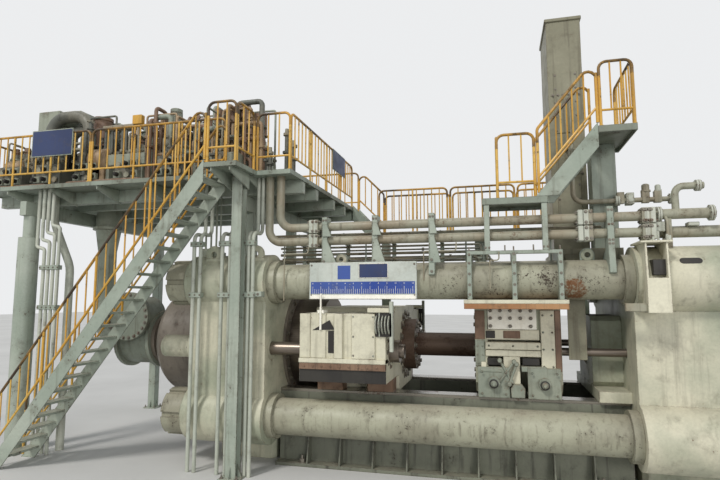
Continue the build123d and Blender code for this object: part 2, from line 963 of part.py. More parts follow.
# Saddle frame: flat hoops round the near upper rod with a bar over it, on a beam under it
with BuildPart() as saddle_frame:
    saddle_back_y = -2 * rod_dy - saddle_front_y
    saddle_foot = saddle_beam_bottom_z + saddle_beam_height
    middle = (saddle_left + saddle_right - saddle_post_width) / 2
    for x in (saddle_left, middle, saddle_right - saddle_post_width):
        with BuildSketch(across(x)):
            with Locations((-rod_dy, (saddle_foot + saddle_top_z) / 2)):
                Rectangle(2 * (saddle_back_y + rod_dy), saddle_top_z - saddle_foot)
            with Locations((-rod_dy, rod_level)):
                Circle(sleeve_d / 2 + fit_gap, mode=Mode.SUBTRACT)
        extrude(amount=saddle_post_width)
    front_back = saddle_front_y + saddle_bar
    box_between(
        saddle_left, saddle_right, saddle_front_y, front_back, saddle_top_z - saddle_bar, saddle_top_z
    )
keep(saddle_frame, "saddle_frame")

with BuildPart() as saddle_beam:
    box_between(
        saddle_left - saddle_beam_lap,
        saddle_right + saddle_beam_lap,
        saddle_front_y - saddle_beam_lap / 2,
        saddle_back_y + saddle_beam_lap / 2,
        saddle_beam_bottom_z,
        saddle_foot,
    )
keep(saddle_beam, "saddle_beam")

# Lifting eyes: thick round-topped plates that sit on the upper rods
with BuildPart() as lifting_eyes:
    for side in (-1, 1):
        with BuildSketch(upright(side * rod_dy)) as eye:
            for x in eye_x:
                eye_centre = rod_level + sleeve_d / 2 + eye_height - eye_width / 2
                with Locations((x, (rod_level + eye_centre) / 2)):
                    Rectangle(eye_width, eye_centre - rod_level)
                with Locations((x, eye_centre)):
                    Circle(eye_width / 2)
                    Circle(eye_hole_d / 2, mode=Mode.SUBTRACT)
        extrude(eye.sketch, amount=eye_thickness / 2, both=True)
        bar_between(
            rear_face, front_face, side * rod_dy, rod_level, sleeve_d + 2 * fit_gap, Mode.SUBTRACT
        )
keep(lifting_eyes, "lifting_eyes")

# Platen bracket: a box on the boss with two upright plates over it and a small shelf on top
with BuildPart() as platen_bracket:
    platen_near = front_side_cut - rod_dy - boss_d / 2
    box_between(bracket_left, bracket_right, bracket_near, platen_near, bracket_bottom_z, bracket_shelf_z)
    for x in (bracket_left, bracket_right - bracket_plate):
        with BuildSketch(across(x)):
            with BuildLine():
                Polyline(
                    (bracket_near, bracket_shelf_z),
                    (bracket_near + bracket_plate, bracket_top_z),
                    (-rod_dy - bracket_plate_lap, bracket_top_z),
                    (-rod_dy, rod_level),
                    close=True,
                )
            make_face()
        extrude(amount=bracket_plate)
    box_between(
        bracket_left - bracket_plate_lap,
        bracket_right + bracket_plate_lap,
        bracket_near,
        -rod_dy - bracket_plate_lap,
        bracket_top_z,
        bracket_top_z + bracket_plate,
    )
    bar_between(front_face, front_end, -rod_dy, rod_level, boss_d + 2 * fit_gap, Mode.SUBTRACT)
keep(platen_bracket, "platen_bracket")

# Twin pipes: down from the platform and along the near upper rod, with square flanges
with BuildPart() as twin_pipes:
    for level, start_x in ((twin_upper_z, twin_upper_start), (twin_lower_z, twin_lower_start)):
        pipe_along(
            [(start_x, twin_y, deck_under), (start_x, twin_y, level), (twin_right, twin_y, level)],
            twin_d,
            twin_bend,
        )
        for x in (*twin_flange_x, twin_right - twin_flange_length):
            box_between(
                x,
                x + twin_flange_length,
                twin_y - twin_flange / 2,
                twin_y + twin_flange / 2,
                level - twin_flange / 2,
                level + twin_flange / 2,
            )
keep(twin_pipes, "twin_pipes")

# Pipework over the front platen: a supply pipe from the shear, and a vessel and an outlet on two posts
with BuildPart() as side_pipework:
    pipe_along(
        [
            (side_pipe_x, -shear_half_y, side_pipe_top_z),
            (side_pipe_x, side_pipe_y, side_pipe_top_z),
            (side_pipe_x, side_pipe_y, side_pipe_level_z),
            (side_pipe_right, side_pipe_y, side_pipe_level_z),
        ],
        side_pipe_d,
        2 * side_pipe_d,
    )
    reach = side_pipe_valve / 2
    for x in side_pipe_valves:
        valve_bottom = side_pipe_level_z - reach
        valve_top = side_pipe_level_z + side_pipe_d + reach
        box_between(x - reach, x + reach, side_pipe_y - reach, side_pipe_y + reach, valve_bottom, valve_top)
    bar_between(twin_right, vessel_right, vessel_y, vessel_z, vessel_d)
    bar_between(twin_right, outlet_right, outlet_y, outlet_z, outlet_d)
    for x in (twin_right, outlet_right - outlet_flange_length):
        bar_between(x, x + outlet_flange_length, outlet_y, outlet_z, outlet_flange_d)
    reach = outlet_support / 2
    for x in outlet_support_x:
        box_between(x - reach, x + reach, vessel_y - reach, outlet_y + reach, rod_level, outlet_z)
        if x < vessel_right:
            box_between(x - reach, x + reach, vessel_y - reach, vessel_y + reach, outlet_z, vessel_z)
    bar_between(front_face, front_end, -rod_dy, rod_level, boss_d + 2 * fit_gap, Mode.SUBTRACT)
keep(side_pipework, "side_pipework")

# Pipe brackets: tapered plates on the near upper rod, and clamps that hold the risers
with BuildPart() as pipe_brackets:
    for x in bracket_x:
        with BuildSketch(across(x - rod_bracket_width / 2)):
            with BuildLine():
                Polyline(
                    (scale_y + edge_thickness, rod_level + rod_bracket_width),
                    (twin_y - twin_flange / 2, twin_lower_z - twin_flange),
                    (twin_y - twin_flange / 2, rod_bracket_top),
                    (twin_y + twin_flange / 2, rod_bracket_top),
                    (twin_y + twin_flange / 2, twin_lower_z - twin_flange),
                    (-rod_dy + sleeve_d / 4, rod_level + sleeve_d / 2 + rod_bracket_width / 2),
                    (-rod_dy, rod_level),
                    close=True,
                )
            make_face()
            with Locations((-rod_dy, rod_level)):
                Circle(sleeve_d / 2 + fit_gap, mode=Mode.SUBTRACT)
            with Locations((twin_y, twin_upper_z), (twin_y, twin_lower_z)):
                Circle(twin_d / 2 + fit_gap, mode=Mode.SUBTRACT)
        extrude(amount=rod_bracket_width)
keep(pipe_brackets, "pipe_brackets")

# Risers: pairs of pipes past the rear platen, and a group with a sideways step at the left column
with BuildPart() as riser_pipes:
    for x in riser_x:
        pipe_along(
            [
                (x, riser_y, 0),
                (x, riser_y, riser_shift_z),
                (x, riser_inner_y, riser_shift_z),
                (x, riser_inner_y, deck_under),
            ],
            riser_d,
            riser_bend,
        )
    for x, step_z in zip(left_riser_x, left_riser_step_z):
        pipe_along(
            [
                (x, left_riser_y, 0),
                (x, left_riser_y, step_z),
                (x - left_riser_shift, left_riser_y, step_z + left_riser_shift / 4),
                (x - left_riser_shift, left_riser_y, deck_under),
            ],
            riser_d,
            riser_d,
        )
    pipe_along(
        [
            (big_riser_x, big_riser_y, 0),
            (big_riser_x, big_riser_y, big_riser_mid_z - big_riser_shift),
            (big_riser_x - big_riser_shift, big_riser_y, big_riser_mid_z + big_riser_shift),
            (big_riser_x - big_riser_shift, big_riser_y, deck_under),
        ],
        big_riser_d,
        4 * big_riser_d,
    )
keep(riser_pipes, "riser_pipes")

with BuildPart() as riser_clamps:
    clamped = [(riser_x[number : number + 2], riser_y, clamp_z) for number in range(0, len(riser_x), 2)]
    clamped.append((left_riser_x, left_riser_y, left_clamp_z))
    margin = riser_d / 2 + clamp_proud
    for pipes, y, levels in clamped:
        for z in levels:
            bottom = z - clamp_height / 2
            box_between(
                pipes[0] - margin, pipes[-1] + margin, y - margin, y + margin, bottom, bottom + clamp_height
            )
            for x in pipes:
                round_post(x, y, bottom, bottom + clamp_height, riser_d + 2 * fit_gap, Mode.SUBTRACT)
    for rod_y, rod_z in rod_places[:2]:
        bar_between(rear_back, rear_face, rod_y, rod_z, boss_d + 2 * fit_gap, Mode.SUBTRACT)
keep(riser_clamps, "riser_clamps")

# Side access: a small landing on the saddle frame, a short stair, and an upper landing on a box column
side_foot = (small_landing_right - side_stair_inset, small_landing_z)
side_head = (upper_landing_left, upper_landing_z)
with BuildPart() as side_landings:
    for left, right, back, level in (
        (small_landing_left, small_landing_right, small_landing_back, small_landing_z),
        (upper_landing_left, upper_landing_right, upper_landing_back, upper_landing_z),
    ):
        box_between(left, right, side_near, back, level - side_deck_edge, level)
        box_between(
            left + edge_thickness,
            right - edge_thickness,
            side_near + edge_thickness,
            back - edge_thickness,
            level - side_deck_edge,
            level - side_deck,
            Mode.SUBTRACT,
        )
keep(side_landings, "side_landings")

with BuildPart() as landing_posts:
    for x in small_post_x:
        box_between(
            x - small_post / 2,
            x + small_post / 2,
            saddle_front_y,
            saddle_front_y + small_post,
            saddle_top_z,
            small_landing_z - side_deck_edge,
        )
    box_between(
        column_box_left,
        column_box_left + column_box,
        column_box_near,
        column_box_near + column_box,
        bridge_top_z,
        upper_landing_z - side_deck,
    )
keep(landing_posts, "landing_posts")

with BuildPart() as side_stair:
    side_back = small_landing_back
    stringers(side_foot, side_head, ((side_near, 1), (side_back, -1)))
    treads(side_foot, side_head, side_near, side_back, side_stair_risers)
keep(side_stair, "side_stair")

with BuildPart() as side_railings:
    near = side_near + rail_inset
    end = small_landing_left + rail_inset
    small_end = side_foot[0] - stringer_lift
    railing((end - half_rail, near, small_landing_z), (small_end, near, small_landing_z))
    railing((end, near + corner, small_landing_z), (end, small_landing_back, small_landing_z))
    end = upper_landing_right - rail_inset
    railing((upper_landing_left + corner, near, upper_landing_z), (end + half_rail, near, upper_landing_z))
    railing((end, near + corner, upper_landing_z), (end, upper_landing_back, upper_landing_z))
    for y in (side_near + half_rail, side_back - half_rail):
        railing(
            (side_foot[0], y, side_foot[1] + stringer_lift), (side_head[0], y, side_head[1] + stringer_lift)
        )
keep(side_railings, "side_railings")

# Platform: a plate deck with edge channels, on joists, headers and columns, with gussets under the near edge
deck_plates = {
    "platform_deck": (platform_left, platform_right, platform_near, platform_far),
    "landing_deck": (landing_left, landing_right, landing_near, platform_near),
}
for name, (left, right, near, far) in deck_plates.items():
    with BuildPart() as deck:
        box_between(left, right, near, far, deck_z - edge_height, deck_z)
        box_between(
            left + edge_thickness,
            right - edge_thickness,
            near + edge_thickness,
            far - edge_thickness,
            deck_z - edge_height,
            deck_under,
            Mode.SUBTRACT,
        )
    keep(deck, name)

with BuildPart() as platform_joists:
    for y in joist_rows:
        box_between(
            platform_left + edge_thickness,
            platform_right - edge_thickness,
            y - joist_width / 2,
            y + joist_width / 2,
            joist_under,
            deck_under,
        )
    gussets = [
        (platform_left + gusset_first + number * gusset_pitch, platform_near + edge_thickness, joist_rows[0])
        for number in range(gusset_count)
    ]
    for x in (landing_left + landing_gusset_inset, landing_right - landing_gusset_inset - gusset_thickness):
        gussets.append((x, landing_near + edge_thickness, platform_near - edge_thickness))
    for x, near, back in gussets:
        with BuildSketch(across(x)):
            with BuildLine():
                Polyline(
                    (back, deck_under),
                    (near, deck_under),
                    (near, deck_z - gusset_nose),
                    (back, deck_under - gusset_depth),
                    close=True,
                )
            make_face()
        extrude(amount=gusset_thickness)
keep(platform_joists, "platform_joists")

with BuildPart() as platform_headers:
    near_ends = (column_left_y - column_left_width / 2, joist_rows[0] - joist_width / 2)
    for x, near_end in zip(header_rows, near_ends):
        box_between(
            x - header_width / 2,
            x + header_width / 2,
            near_end,
            column_far_y + column_width / 2,
            header_under,
            joist_under,
        )
keep(platform_headers, "platform_headers")

with BuildPart() as platform_columns:
    round_post(header_rows[0], column_left_y, 0, column_left_top_z, column_left_width)
    round_post(header_rows[0], column_left_y, column_left_top_z, header_under, column_left_neck)
    for x in header_rows:
        box_between(
            x - column_width / 2,
            x + column_width / 2,
            column_far_y - column_width / 2,
            column_far_y + column_width / 2,
            0,
            header_under,
        )
    for side in (-1, 1):
        box_between(
            header_rows[1] - column_width / 2,
            header_rows[1] + column_width / 2,
            side * platen_post_y - column_width / 2,
            side * platen_post_y + column_width / 2,
            platen_top,
            header_under,
        )
    with BuildSketch(Plane.XY):
        with Locations((landing_column_x, landing_column_y)):
            Rectangle(column_width, column_width)
        for side in (-1, 1):
            with Locations((landing_column_x + side * column_width / 3, landing_column_y)):
                Rectangle(column_width / 2, column_width - 2 * edge_thickness, mode=Mode.SUBTRACT)
    extrude(amount=deck_under)
    for x in walkway_posts_x:
        box_between(
            x - column_width / 2,
            x + column_width / 2,
            column_far_y - column_width / 2,
            column_far_y + column_width / 2,
            0,
            walkway_z - side_deck_edge,
        )
keep(platform_columns, "platform_columns")

rail_y = platform_near + rail_inset
left_rail = platform_left + rail_inset
right_rail = platform_right - rail_inset
far_rail = platform_far - rail_inset
link_near = platform_far - link_width
with BuildPart() as platform_railings:
    railing((left_rail - half_rail, rail_y, deck_z), (landing_left, rail_y, deck_z))
    railing((landing_right, rail_y, deck_z), (right_rail + half_rail, rail_y, deck_z))
    railing((left_rail - half_rail, far_rail, deck_z), (right_rail + half_rail, far_rail, deck_z))
    railing((left_rail, rail_y + corner, deck_z), (left_rail, far_rail - corner, deck_z))
    railing((right_rail, rail_y + corner, deck_z), (right_rail, link_near, deck_z))
    near_rail = landing_near + rail_inset
    end_rail = landing_right - rail_inset
    railing((landing_left, near_rail, deck_z), (end_rail + half_rail, near_rail, deck_z))
    railing((end_rail, near_rail + corner, deck_z), (end_rail, platform_near, deck_z))
keep(platform_railings, "platform_railings")

# Main stair: two flat stringers with treads between them, from the ground to the landing
main_foot = (landing_left - stair_risers * stair_going, 0)
main_head = (landing_left, deck_z)
with BuildPart() as main_stair:
    stringers(main_foot, main_head, ((landing_near, 1), (platform_near, -1)))
    treads(main_foot, main_head, landing_near, platform_near, stair_risers)
keep(main_stair, "main_stair")

with BuildPart() as main_stair_railings:
    for y in (landing_near + half_rail, platform_near - half_rail):
        railing((main_foot[0], y, stringer_lift), (main_head[0], y, deck_z + stringer_lift))
keep(main_stair_railings, "main_stair_railings")

# Far walkway: a deck on posts, with a railing on its outer edge and a short stair down to it
with BuildPart() as walkway:
    box_between(
        platform_right + link_risers * link_going,
        walkway_right,
        walkway_near,
        platform_far,
        walkway_z - side_deck_edge,
        walkway_z,
    )
keep(walkway, "walkway")

link_foot = (platform_right + link_risers * link_going, walkway_z)
link_head = (platform_right, deck_z)
with BuildPart() as link_stair:
    stringers(link_foot, link_head, ((link_near, 1), (platform_far, -1)))
    treads(link_foot, link_head, link_near, platform_far, link_risers)
keep(link_stair, "link_stair")

with BuildPart() as walkway_railings:
    rail_start = link_foot[0] + 2 * stringer_lift
    railing((rail_start, far_rail, walkway_z), (walkway_right, far_rail, walkway_z))
    near_edge = walkway_near + rail_inset
    railing((rail_start, near_edge, walkway_z), (walkway_right, near_edge, walkway_z))
    y = platform_far - half_rail
    railing((link_head[0], y, deck_z + stringer_lift), (link_foot[0], y, walkway_z + stringer_lift))
keep(walkway_railings, "walkway_railings")

# Hydraulics on the platform: an oil tank at the back, pumps in the middle, valve blocks along the near side
with BuildPart() as oil_tank:
    box_between(
        tank_left, tank_left + tank_length, tank_near, tank_near + tank_width, deck_z, deck_z + tank_height
    )
    fillet(oil_tank.edges().filter_by(Axis.X), tank_corner)
keep(oil_tank, "oil_tank")

with BuildPart() as pump_units:
    for x in pump_x:
        box_between(
            x - motor_length / 2,
            x + motor_length,
            pump_y - motor_d / 2,
            pump_y + motor_d / 2,
            deck_z,
            deck_z + pump_base_height,
        )
        level = deck_z + pump_base_height + motor_d / 2 - motor_seat
        bar_between(x - motor_length / 2, x + motor_length / 2, pump_y, level, motor_d)
        bar_between(x + motor_length / 2, x + motor_length * 0.95, pump_y, level, motor_d * 0.6)
keep(pump_units, "pump_units")

with BuildPart() as valve_blocks:
    for x in manifold_x:
        box_between(
            x - manifold_width / 2,
            x + manifold_width / 2,
            manifold_y - manifold_depth / 2,
            manifold_y + manifold_depth / 2,
            deck_z,
            deck_z + manifold_height,
        )
        for dx in (-manifold_width / 4, manifold_width / 4):
            top = deck_z + manifold_height
            round_post(x + dx, manifold_y, top, top + cartridge_height, cartridge_d)
keep(valve_blocks, "valve_blocks")

# Accumulators and headers: bottles in front of the tank, a long header on blocks, and an arch beside them
with BuildPart() as accumulators:
    for x in bottle_x:
        round_post(x, bottle_y, deck_z, deck_z + bottle_height, bottle_d)
        neck_top = deck_z + bottle_height + bottle_neck_height
        round_post(x, bottle_y, deck_z + bottle_height, neck_top, bottle_neck_d)
    shoulders = accumulators.edges().filter_by(GeomType.CIRCLE).group_by(Axis.Z)[1]
    fillet(shoulders.filter_by(lambda edge: edge.radius > bottle_neck_d), bottle_neck_d / 2)
keep(accumulators, "accumulators")

with BuildPart() as deck_pipes:
    level = deck_z + header_z
    bar_between(manifold_x[0], manifold_x[-1], header_y, level, header_d)
    reach = header_d / 2
    for x in manifold_x:
        box_between(x - reach, x + reach, header_y - reach, header_y + reach, deck_z, level)
    pipe_along(
        [
            (arch_x[0], arch_y, deck_z),
            (arch_x[0], arch_y, deck_z + arch_top),
            (arch_x[1], arch_y, deck_z + arch_top),
            (arch_x[1], arch_y, deck_z),
        ],
        arch_d,
        arch_bend,
    )
keep(deck_pipes, "deck_pipes")
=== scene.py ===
"""Looks of a horizontal hydraulic extrusion press: coats of old paint, round railings, bolts, pipework,
the scale's face, panels, valves and fittings, and a plain studio.

Metres. +X is the extrusion direction, +Z is up and -Y is the operator's side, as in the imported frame.
The file is laid out as an add-on and is run as a script.
"""

import bpy
import numpy as np
from bpy.props import FloatProperty, FloatVectorProperty, IntProperty, PointerProperty
from bpy.types import Operator, Panel, PropertyGroup
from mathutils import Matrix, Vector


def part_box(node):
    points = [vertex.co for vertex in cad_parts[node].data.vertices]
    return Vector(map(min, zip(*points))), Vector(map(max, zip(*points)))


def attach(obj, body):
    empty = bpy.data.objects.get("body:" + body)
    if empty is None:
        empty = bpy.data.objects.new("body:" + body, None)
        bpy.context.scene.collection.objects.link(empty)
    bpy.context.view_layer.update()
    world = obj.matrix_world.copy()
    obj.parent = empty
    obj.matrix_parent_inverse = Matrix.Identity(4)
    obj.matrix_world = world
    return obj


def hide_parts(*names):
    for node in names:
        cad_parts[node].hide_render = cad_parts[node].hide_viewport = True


bl_info = {
    "name": "Extrusion press looks",
    "version": (1, 0, 0),
    "blender": (4, 5, 0),
    "location": "3D View > Sidebar > Press",
    "description": "Finishes, railings, fasteners, pipework and stage for a horizontal extrusion press",
    "category": "Object",
}

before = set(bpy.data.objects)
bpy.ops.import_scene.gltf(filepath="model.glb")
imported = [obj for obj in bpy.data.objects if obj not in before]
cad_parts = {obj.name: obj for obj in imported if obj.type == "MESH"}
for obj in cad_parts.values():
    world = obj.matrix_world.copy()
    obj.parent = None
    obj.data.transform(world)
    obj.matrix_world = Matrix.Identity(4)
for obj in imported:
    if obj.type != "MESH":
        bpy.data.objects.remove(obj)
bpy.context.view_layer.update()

FRAME_BODY = "press_frame"
CROSSHEAD_BODY = "crosshead"
CONTAINER_BODY = "container"
X = np.array((1.0, 0.0, 0.0))
Y = np.array((0.0, 1.0, 0.0))
Z = np.array((0.0, 0.0, 1.0))
TAU = 2 * np.pi
CREASE_DEGREES = 40
MATERIALS = {}


def corners(node):
    """Lowest and highest corner of a CAD node at rest, as arrays."""
    low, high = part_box(node)
    return np.array(low), np.array(high)


def point(x, y, z):
    """A point as an array."""
    return np.array((x, y, z), float)


def rows_of(places):
    """One place or many, as rows of an array."""
    return np.atleast_2d(np.asarray(places, float))


# Surfaces


class Shape:
    """Points and faces of one piece, gathered from its surfaces."""

    def __init__(self):
        self.points = []
        self.faces = []
        self.count = 0

    def add(self, points, *face_arrays):
        """Take a surface's points, and its faces as arrays of point numbers."""
        points = np.asarray(points, float).reshape(-1, 3)
        for faces in face_arrays:
            self.faces.extend((np.asarray(faces) + self.count).tolist())
        self.points.append(points)
        self.count += len(points)


def grid_faces(copies, rows, columns):
    """Quads of many grids whose rows are closed rings, with the ring's direction before the row's."""
    row = np.arange(rows - 1)[:, None]
    column = np.arange(columns)[None, :]
    near = row * columns + column
    beside = row * columns + (column + 1) % columns
    one = np.stack([near, beside, beside + columns, near + columns], -1).reshape(-1, 4)
    return (one[None] + np.arange(copies)[:, None, None] * rows * columns).reshape(-1, 4)


def cap_faces(copies, rows, columns):
    """The flat ends of many ringed grids: the first ring turned round, and the last ring as it is."""
    first = np.arange(columns)[::-1]
    last = np.arange(columns) + (rows - 1) * columns
    ends = np.stack([first, last])
    return (ends[None] + np.arange(copies)[:, None, None] * rows * columns).reshape(-1, columns)


def square_to(directions):
    """Two unit vectors square to each direction, so that the first, the second and it make a right hand."""
    directions = rows_of(directions)
    directions = directions / np.linalg.norm(directions, axis=1, keepdims=True)
    helper = np.where(np.abs(directions[:, 2:3]) < 0.8, Z, X)
    first = np.cross(helper, directions)
    first /= np.linalg.norm(first, axis=1, keepdims=True)
    return first, np.cross(directions, first), directions


def collar(shape, places, axis, start, end, inner, outer, sides=32):
    """Open rings round the axis, from one distance to another along it and from one radius to another."""
    profile = [(start, inner), (start, outer), (end, outer), (end, inner), (start, inner)]
    turned(shape, places, axis, profile, sides=sides, capped=False)


def circle(first, second, sides, phase=0.0):
    """A unit circle for each pair of vectors: first * cos t + second * sin t, with t in even steps."""
    angle = np.arange(sides) * TAU / sides + phase
    return first[:, None] * np.cos(angle)[:, None] + second[:, None] * np.sin(angle)[:, None]


def turned(shape, places, axis, profile, sides=32, phase=0.0, capped=True):
    """Turned bodies, one at each place: place + axis * distance + radius * (cos t, sin t) round the axis,
    with (distance, radius) running along the profile and t round the ring. An open ring's profile ends where
    it began."""
    places = rows_of(places)
    first, second, along = square_to(np.broadcast_to(np.asarray(axis, float), places.shape))
    profile = np.asarray(profile, float)
    ring = circle(first, second, sides, phase)
    points = (
        places[:, None, None, :]
        + along[:, None, None, :] * profile[None, :, 0, None, None]
        + ring[:, None, :, :] * profile[None, :, 1, None, None]
    )
    rows = len(profile)
    caps = [cap_faces(len(places), rows, sides)] if capped else []
    shape.add(points, grid_faces(len(places), rows, sides), *caps)


def route(points, bend, steps=6):
    """A path of straight runs whose corners are arcs of one radius, each about a centre inside its corner."""
    points = np.asarray(points, float)
    path = [points[:1]]
    for before, corner, after in zip(points[:-2], points[1:-1], points[2:]):
        back = (before - corner) / np.linalg.norm(before - corner)
        ahead = (after - corner) / np.linalg.norm(after - corner)
        half = np.arccos(np.clip(back @ ahead, -1, 1)) / 2
        reach = bend / np.tan(half)
        middle = back + ahead
        centre = corner + middle / np.linalg.norm(middle) * bend / np.sin(half)
        start = corner + back * reach - centre
        swept = np.linspace(0, np.pi - 2 * half, steps + 1)[:, None]
        path.append(centre + start * np.cos(swept) - back * bend * np.sin(swept))
    path.append(points[-1:])
    return np.concatenate(path)


def path_frames(path):
    """Two unit vectors square to the path at each of its points, taken from one steady side direction."""
    ahead = np.gradient(path, axis=0)
    ahead /= np.linalg.norm(ahead, axis=1, keepdims=True)
    sides = np.array([(1, 1, 1), (1, -1, 1), (-1, 1, 1), (1, 1, -1), (1, 0.2, 0.1), (0.1, 1, 0.2),
                      (0.2, 0.1, 1)])
    sides = sides / np.linalg.norm(sides, axis=1, keepdims=True)
    steady = sides[np.argmin(np.abs(ahead @ sides.T).max(axis=0))]
    first = np.cross(steady, ahead)
    first /= np.linalg.norm(first, axis=1, keepdims=True)
    return first, np.cross(ahead, first)


def tube(shape, path, radius, sides=10):
    """A round tube: path(s) + radius(s) * (cos t, sin t) in the plane square to the path."""
    path = np.asarray(path, float)
    first, second = path_frames(path)
    radius = np.broadcast_to(np.asarray(radius, float), (len(path),))
    points = path[:, None] + circle(first, second, sides) * radius[:, None, None]
    shape.add(points, grid_faces(1, len(path), sides), cap_faces(1, len(path), sides))


def pipe(shape, points, bend, radius, sides=10, steps=6):
    """A round tube along straight runs with bends of one radius."""
    tube(shape, route(points, bend, steps), radius, sides)


def rods(shape, starts, ends, radius, sides=8):
    """Straight round rods between pairs of points: start + (end - start) * s + radius * (cos t, sin t)."""
    starts = rows_of(starts)
    ends = rows_of(ends)
    first, second, _ = square_to(ends - starts)
    ring = circle(first, second, sides)
    points = np.stack([starts[:, None] + ring * radius, ends[:, None] + ring * radius], axis=1)
    shape.add(points, grid_faces(len(starts), 2, sides), cap_faces(len(starts), 2, sides))


def blocks(shape, centres, sizes, bevel=0.006):
    """Bevelled blocks: an eight-cornered outline carried through four levels, and drawn in by the bevel at
    both ends."""
    centres = rows_of(centres)
    half = np.broadcast_to(rows_of(sizes) / 2, centres.shape)
    bevel = np.minimum(bevel, half.min(axis=1) * 0.6)[:, None, None]
    signs = np.array([(1, 1), (1, 1), (-1, 1), (-1, 1), (-1, -1), (-1, -1), (1, -1), (1, -1)])
    cut = np.array([(0, 1), (1, 0), (1, 0), (0, 1), (0, 1), (1, 0), (1, 0), (0, 1)])
    drawn = np.array((1.0, 0.0, 0.0, 1.0))[None, :, None]
    reach = half[:, None, None, :2] - bevel[..., None] * (
        drawn[..., None] + cut[None, None] * (1 - 0.6 * drawn[..., None])
    )
    flat = reach * signs
    level = half[:, None, 2:] * np.array((-1, -1, 1, 1))[None, :, None]
    level = level + bevel * np.array((0, 1, -1, 0))[None, :, None]
    level = np.broadcast_to(level, (len(centres), 4, 8))
    points = centres[:, None, None, :] + np.concatenate([flat, level[..., None]], axis=-1)
    shape.add(points, grid_faces(len(centres), 4, 8), cap_faces(len(centres), 4, 8))


def hoop(shape, centres, axis, radius, thick, sides=24):
    """Round rings: centre + (radius + thick cos u) (cos t, sin t) + axis * thick sin u, closed both ways."""
    centres = rows_of(centres)
    tube_sides = 8
    small = np.arange(tube_sides) * TAU / tube_sides
    first, second, along = square_to(np.broadcast_to(np.asarray(axis, float), centres.shape))
    out = circle(first, second, sides)
    out = np.concatenate([out, out[:, :1]], axis=1)
    reach = radius + thick * np.cos(small)
    points = (
        centres[:, None, None]
        + out[:, :, None] * reach[:, None]
        + along[:, None, None] * (thick * np.sin(small))[:, None]
    )
    shape.add(points, grid_faces(len(centres), sides + 1, tube_sides)[:, ::-1])


def wedge(shape, outline, plane, start, end):
    """A prism: an outline of the two coordinates that follow the named axis, such as z and x after y, carried
    along that axis from start to end."""
    outline = np.asarray(outline, float)
    following = np.roll(outline, -1, axis=0)
    if (outline[:, 0] * following[:, 1] - following[:, 0] * outline[:, 1]).sum() < 0:
        outline = outline[::-1]
    axes = {"x": (1, 2, 0), "y": (2, 0, 1), "z": (0, 1, 2)}[plane]
    points = np.empty((2, len(outline), 3))
    points[:, :, axes[0]] = outline[:, 0]
    points[:, :, axes[1]] = outline[:, 1]
    points[:, :, axes[2]] = np.array((start, end))[:, None]
    shape.add(points, grid_faces(1, 2, len(outline)), cap_faces(1, 2, len(outline)))


def places(xs, ys, zs):
    """Every place with its x, y and z from the three lists; a single value may stand for a list."""
    return np.stack(np.meshgrid(xs, ys, zs, indexing="ij"), -1).reshape(-1, 3)


def spaced(low, high, count):
    """Even places from low to high."""
    return np.linspace(low, high, count)


def ringed(centre, axis, radius, count, phase=0.0):
    """Even places on a circle about an axis."""
    first, second, _ = square_to(axis)
    return np.asarray(centre, float) + radius * circle(first, second, count, phase)[0]


def bolts(shape, places, axis, width):
    """Hexagon bolt heads on washers, standing along the axis from their places."""
    thick = width * 0.12
    tall = width * 0.62
    turned(shape, places, axis, [(0, width * 0.85), (thick, width * 0.85)], sides=12)
    head = [(thick, width / 2), (tall * 0.9, width / 2), (tall, width * 0.42)]
    turned(shape, places, axis, head, sides=6)


def bolt_circle(shape, centre, axis, radius, count, width, phase=0.0):
    """Bolts on a circle about an axis."""
    bolts(shape, ringed(centre, axis, radius, count, phase), axis, width)


def flanged(shape, places, axis, radius, length=0.05, studs=6):
    """Round flanges in pairs across a pipe, with their ring of studs."""
    axis = np.asarray(axis, float)
    gap = radius * 0.9
    pair = [(0, radius), (length * 0.9, radius), (length * 0.9, gap), (length * 1.1, gap),
            (length * 1.1, radius), (2 * length, radius)]
    for place in rows_of(places):
        turned(shape, place - axis * length, axis, pair, sides=20)
        feet = ringed(place - axis * length * 1.4, axis, radius * 0.8, studs)
        rods(shape, feet, feet + axis * length * 2.8, radius * 0.09, sides=6)


def finned(shape, place, axis, length, radius, fins=20):
    """A finned motor: place + axis * distance + radius * (cos t, sin t) round the axis, drawn in between the
    fins, with a smooth cap at its far end and a plain flange at its foot."""
    first, second, along = square_to(axis)
    steps = 4 * fins
    fin_depth = 0.12
    wave = np.where(np.arange(steps) % 4 < 2, 1.0, 1 - fin_depth)
    rows = np.array([(0, 1.12), (0.05, 1.12), (0.05, 1.0), (0.8, 1.0), (0.8, 0.86), (0.82, 0.98),
                     (0.97, 0.98), (1, 0.8)])
    waved = np.array([0, 0, 1, 1, 0, 0, 0, 0])[:, None]
    reach = radius * rows[:, 1:] * (1 - waved * (1 - wave))
    points = (
        place
        + along[0] * (rows[:, 0] * length)[:, None, None]
        + circle(first, second, steps)[0] * reach[..., None]
    )
    shape.add(points, grid_faces(1, len(rows), steps), cap_faces(1, len(rows), steps))


def show(shape, name, finish, body, replaces=()):
    """Make the piece's object at the origin, with its place in its mesh, and let it ride on its body."""
    mesh = bpy.data.meshes.new(name)
    mesh.from_pydata(np.concatenate(shape.points), [], shape.faces)
    mesh.shade_smooth()
    mesh.set_sharp_from_angle(angle=np.radians(CREASE_DEGREES))
    mesh.materials.append(MATERIALS[finish])
    mesh.validate()
    piece = bpy.data.objects.new(name, mesh)
    bpy.context.scene.collection.objects.link(piece)
    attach(piece, body)
    if replaces:
        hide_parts(*replaces)


def show_all(body, *pieces):
    """Show pieces that ride on one body, each given as its shape, name, finish and slot; the slot is not
    used.
    """
    for shape, name, finish, slot in pieces:
        show(shape, name, finish, body)


# Places shared by several pieces, from the part's sizes

